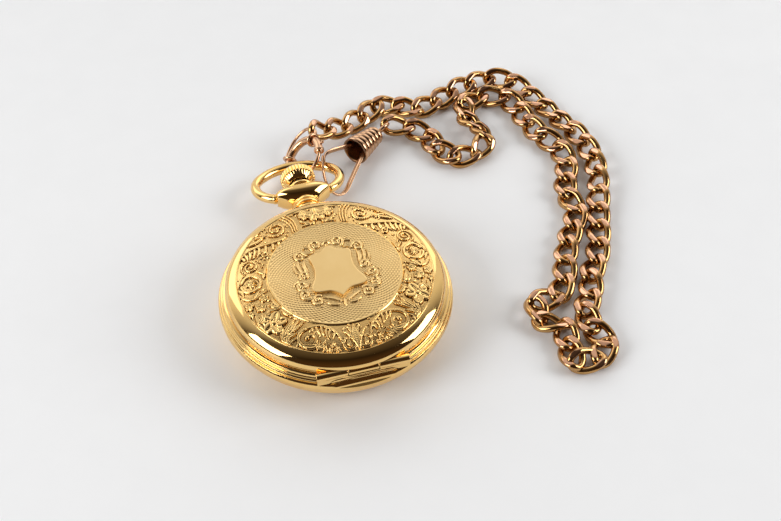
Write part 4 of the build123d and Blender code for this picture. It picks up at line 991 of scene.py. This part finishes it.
def make_bolt():
    """Sprung bolt that closes the ring's gap, with its thumb trigger."""
    parts = [tube(ring_arc(RING_R, -118, 128, 30), 0.42, 18)]
    stem = [(RING_R + 0.3, 0, 0), (RING_R + 0.8, 0, 0), (RING_R + 1.15, 0, 0.02)]
    knob = [(0, -0.3, 0), (0.3, -0.3, 0.12), (0.38, 0, 0.2), (0.3, 0.3, 0.12), (0, 0.3, 0)]
    on_stem = ((RING_R + 1.3, 0, 0), (0, 1, 0), (0, 0, 1), (1, 0, 0))
    parts += [tube(stem, 0.24, 14), moved(turned(knob, 24, closed=False), on_stem)]
    clasp("ring_bolt_trigger", moved(join(parts), ring_place()), "bolt_ring_bolt", "ring_bolt")


# ---- Chain ----
CHAIN_Z = 1.5                  # height of the chain's centre line on the table
LINKS = 59
LINK_WIRE_R = 0.76
LINK_HALF_W = 2.0              # from the link's axis to the middle of its wire
LINK_LENGTH = 5.4              # of the opening inside a link
LINK_TWIST = -42.0             # degrees from a link's middle to its end
LINK_FLAT_Z = 1.24             # height of the flats cut on a link's faces
CHAIN_ROUTE = [
    (6.95, 48.2, 6.5), (12, 51, 3), (18, 53, CHAIN_Z), (24, 58, CHAIN_Z),
    (28.5, 58, CHAIN_Z), (30.5, 53.5, CHAIN_Z), (36, 54, CHAIN_Z), (42, 57.5, CHAIN_Z),
    (50, 59.5, CHAIN_Z), (56.5, 59.5, CHAIN_Z), (60.5, 51.5, CHAIN_Z), (63.5, 44, CHAIN_Z),
    (66.5, 35, CHAIN_Z), (67, 27, CHAIN_Z), (64.5, 18, CHAIN_Z), (61.5, 11.5, CHAIN_Z),
    (59.5, 5.5, CHAIN_Z), (57, 0, CHAIN_Z), (54.5, -4.5, CHAIN_Z), (50.5, -7.5, CHAIN_Z),
    (52, -12, CHAIN_Z), (46.5, -15, CHAIN_Z), (47.5, -18.5, CHAIN_Z), (51, -20.5, CHAIN_Z),
    (49, -25.5, CHAIN_Z), (43.5, -27.5, CHAIN_Z), (39.5, -24, CHAIN_Z), (43.5, -20, CHAIN_Z),
    (43, -15.5, CHAIN_Z), (38, -15, CHAIN_Z), (38.5, -8.5, CHAIN_Z), (44.5, -9.5, CHAIN_Z),
    (47, -7, CHAIN_Z), (48.5, -2.5, CHAIN_Z), (50.5, 2.5, CHAIN_Z), (54, 8, CHAIN_Z),
    (58.5, 13, CHAIN_Z), (56, 19.5, CHAIN_Z), (60, 25.5, CHAIN_Z), (62, 31, CHAIN_Z),
    (57.5, 36.5, CHAIN_Z), (56, 43, CHAIN_Z), (56, 51.5, CHAIN_Z), (50, 54.5, CHAIN_Z),
    (43.5, 54, CHAIN_Z), (42.5, 45.5, CHAIN_Z), (47.5, 41, CHAIN_Z), (41.5, 34.5, CHAIN_Z),
    (32.5, 36.5, CHAIN_Z), (34.5, 43, CHAIN_Z), (29.5, 49, 2.0), (24.5, 49.5, 2.9),
]


def curb_link():
    """One curb link, twisted along its length, with bright flats cut on its two faces.

    Returns its points, faces and how far each point lies on a cut flat.
    """
    straight = LINK_LENGTH / 2 + LINK_WIRE_R - LINK_HALF_W
    steps, sides = 60, 14
    path = []
    for k in range(steps):
        a = 2 * pi * k / steps
        x = LINK_HALF_W * cos(a) + straight * copysign(abs(cos(a)) ** 0.6, cos(a))
        y = LINK_HALF_W * sin(a)
        turn = radians(LINK_TWIST) * x / (straight + LINK_HALF_W)
        path.append((x, y * cos(turn), y * sin(turn)))
    verts, faces = tube(path, LINK_WIRE_R, sides, closed=True)
    verts = np.array(verts)
    proud = np.abs(verts[:, 2]) - LINK_FLAT_Z
    verts[:, 2] = np.clip(verts[:, 2], -LINK_FLAT_Z, LINK_FLAT_Z)
    return verts, faces, np.clip(proud / 0.06, 0, 1)


def even_points(line, count):
    """count + 1 points an equal way apart along a line."""
    line = np.array(line, float)
    lengths = np.concatenate([[0], np.cumsum(np.linalg.norm(np.diff(line, axis=0), axis=1))])
    targets = np.linspace(0, lengths[-1], count + 1)
    points = np.stack([np.interp(targets, lengths, line[:, k]) for k in range(3)], 1)
    return points, lengths[-1]


def make_chain():
    line = nurbs_line(CHAIN_ROUTE)
    joints, length = even_points(line, LINKS)
    dice = random.Random(4)
    link, faces, proud = curb_link()
    parts, cuts = [], []
    for k, (a, b) in enumerate(zip(joints, joints[1:])):
        along = (b - a) / np.linalg.norm(b - a)
        across = np.cross((0, 0, 1), along)
        across /= np.linalg.norm(across)
        up = np.cross(along, across)
        # both runs lean the same way, and the loose chain is wrung back and forth
        lean = 26 * cos(pi * k / LINKS)
        roll = radians(lean + 16 * sin(0.8 * k) + dice.uniform(-14, 14))
        y_axis = across * cos(roll) + up * sin(roll)
        z_axis = up * cos(roll) - across * sin(roll)
        points, _ = moved((link, faces), ((a + b) / 2, along, y_axis, z_axis))
        # a link that leans over is held up by the table
        points[:, 2] += max(0.0, -points[:, 2].min())
        parts.append((points, faces))
        cuts.append(proud)
    verts, faces = join(parts)
    nodes = [name for name in frame["nodes"] if name.startswith("chain_run_")]
    chain = piece("curb_chain", verts, faces, None, rose, nodes, "antique_rose_gold", sharp=50)
    attribute(chain, "cut", np.concatenate(cuts))
    # the ends hang on the bow's clasps, and the rest lies on the table
    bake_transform(chain)


# ---- Dial ----
NUMERALS = ("XII", "I", "II", "III", "IIII", "V", "", "VII", "VIII", "IX", "X", "XI")
NUMERAL_R, NUMERAL_SIZE = 13.6, 3.7
DIAL_Z = 8.1
SECONDS_AT = (0, -8.6)


def dial_text(name, text, angle):
    """A numeral's faces, at its angle from 12 o'clock and upright from the centre."""
    curve = bpy.data.curves.new(name, "FONT")
    curve.body = text
    curve.size = NUMERAL_SIZE * MM
    curve.align_x, curve.align_y = "CENTER", "CENTER"
    curve.extrude = 0.015 * MM
    curve.resolution_u = 4
    place = (NUMERAL_R * sin(angle), NUMERAL_R * cos(angle), DIAL_Z + 0.012)
    return curve_mesh(curve, place, -angle)


def make_dial():
    """Enamel dial with painted numerals, a minute track and a seconds track."""
    outline = [(0, 7.78, 0), (18.55, 7.78, 0.05), (18.55, 8.0, 0.08), (18.3, DIAL_Z, 0.1), (1.05, DIAL_Z, 0)]
    piece("dial_plate", *turned(outline, 160, closed=False), "case", enamel, ("dial",), "enamel")
    parts = [dial_text(f"numeral_{hour}", text, radians(30 * hour))
             for hour, text in enumerate(NUMERALS) if text]
    # minute track and seconds track: each fifth mark is longer and wider
    for centre, outer, short, long, width in (((0, 0), 17.4, 0.7, 1.2, 0.09),
                                              (SECONDS_AT, 3.9, 0.35, 0.7, 0.05)):
        for k in range(60):
            a = 2 * pi * k / 60
            length, half = (long, width * 1.6) if k % 5 == 0 else (short, width)
            direction = np.array((sin(a), cos(a)))
            side = np.array((direction[1], -direction[0])) * half
            corners = [centre + direction * (outer - s) + side * t
                       for s, t in ((0, -1), (0, 1), (length, 1), (length, -1))]
            parts.append(plate(corners, DIAL_Z - 0.01, DIAL_Z + 0.022, 0.008))
    for centre, r0, r1 in (((0, 0), 16.15, 16.25), ((0, 0), 17.4, 17.5), (SECONDS_AT, 3.9, 3.97)):
        low, high = DIAL_Z - 0.01, DIAL_Z + 0.02
        verts, faces = lathe([(r0, low), (r1, low), (r1, high), (r0, high)], 160)
        parts.append((verts + np.array((*centre, 0)), faces))
    piece("dial_print", *join(parts), "case", black_paint, ("dial",), "enamel")


# ---- Stage, light and camera ----
CAMERA_LENS, CAMERA_ROLL = 58.34, 0.33
CAMERA_AT, CAMERA_AIM = (-34.77, -160.82, 200.09), (14.54, 11.16, 0)
TABLE_HALF = 3.0               # metres


def make_stage():
    """Plain pale table, a hair below the watch so that the two don't share a plane."""
    corners = [(-1, -1, 0), (1, -1, 0), (1, 1, 0), (-1, 1, 0)]
    mesh = bpy.data.meshes.new("table")
    mesh.from_pydata([Vector(corner) * TABLE_HALF for corner in corners], [], [(0, 1, 2, 3)])
    table = add_object("table", mesh)
    table.location.z = -0.02 * MM
    mesh.materials.append(plain("table_top", (0.915, 0.93, 0.95), (0.905, 0.92, 0.94), 0.6, 60.0, 0.0))


def soft_box(name, place, aim, size, power):
    lamp = bpy.data.lights.new(name, "AREA")
    lamp.shape = "RECTANGLE"
    lamp.size = lamp.size_y = size
    lamp.energy = power
    obj = add_object(name, lamp)
    obj.location = place
    obj.rotation_euler = (Vector(aim) - Vector(place)).to_track_quat("-Z", "Y").to_euler()


def make_world():
    """Pale studio: bright behind the table, dim overhead and in front of it."""
    world = bpy.data.worlds.new("studio")
    bpy.context.scene.world = world
    world.use_nodes = True
    tree = world.node_tree
    place = tree.nodes.new("ShaderNodeTexCoord")
    dot = tree.nodes.new("ShaderNodeVectorMath")
    dot.operation = "DOT_PRODUCT"
    dot.inputs[1].default_value = (0.1, 1.0, 0.05)
    tree.links.new(place.outputs["Generated"], dot.inputs[0])
    shade = tree.nodes.new("ShaderNodeValToRGB")
    stops = [(0.0, (0.09, 0.05, 0.025)), (0.3, (0.03, 0.02, 0.012)), (0.56, (0.12, 0.10, 0.08)),
             (0.76, (0.95, 0.93, 0.90)), (1.0, (1.0, 0.99, 0.97))]
    while len(shade.color_ramp.elements) < len(stops):
        shade.color_ramp.elements.new(0.5)
    for element, (at, colour) in zip(shade.color_ramp.elements, stops):
        element.position = at
        element.color = (*colour, 1)
    tree.links.new(ramp(tree, dot.outputs["Value"], 0.0, 1.0, -1.0, 1.0), shade.inputs["Fac"])
    background = tree.nodes["Background"]
    tree.links.new(shade.outputs["Color"], background.inputs["Color"])
    background.inputs["Strength"].default_value = 0.84


def make_camera():
    camera = bpy.data.cameras.new("camera")
    camera.lens = CAMERA_LENS
    camera.sensor_width = 36
    camera.clip_start = 0.01
    obj = add_object("camera", camera)
    spot, aim = Vector(CAMERA_AT) * MM, Vector(CAMERA_AIM) * MM
    obj.location = spot
    turn = (aim - spot).to_track_quat("-Z", "Y").to_matrix().to_4x4()
    obj.rotation_euler = (turn @ Matrix.Rotation(radians(CAMERA_ROLL), 4, "Z")).to_euler()
    bpy.context.scene.camera = obj


bpy.context.scene.view_settings.view_transform = "Standard"
make_camera()
make_stage()
make_world()
soft_box("left_box", (-0.75, -0.12, 0.42), (0, 0, 0), 0.5, 4.8)
soft_box("right_box", (0.75, -0.22, 0.42), (0, 0, 0), 0.5, 4.3)
soft_box("back_left_box", (-0.4, 0.75, 0.45), (0, 0.1, 0), 0.6, 1.25)
soft_box("back_right_box", (0.5, 0.75, 0.45), (0, 0.1, 0), 0.6, 1.1)

dress_cad_nodes()
make_chain()
make_engraved_band()
make_field()
make_cover_shell()
make_case_band()
make_back()
make_pendant()
make_crown()
make_bow()
make_bolt_ring()
make_bail()
make_clip_barrel()
make_clip()
make_swivel_eye()
make_bolt()
make_dial()
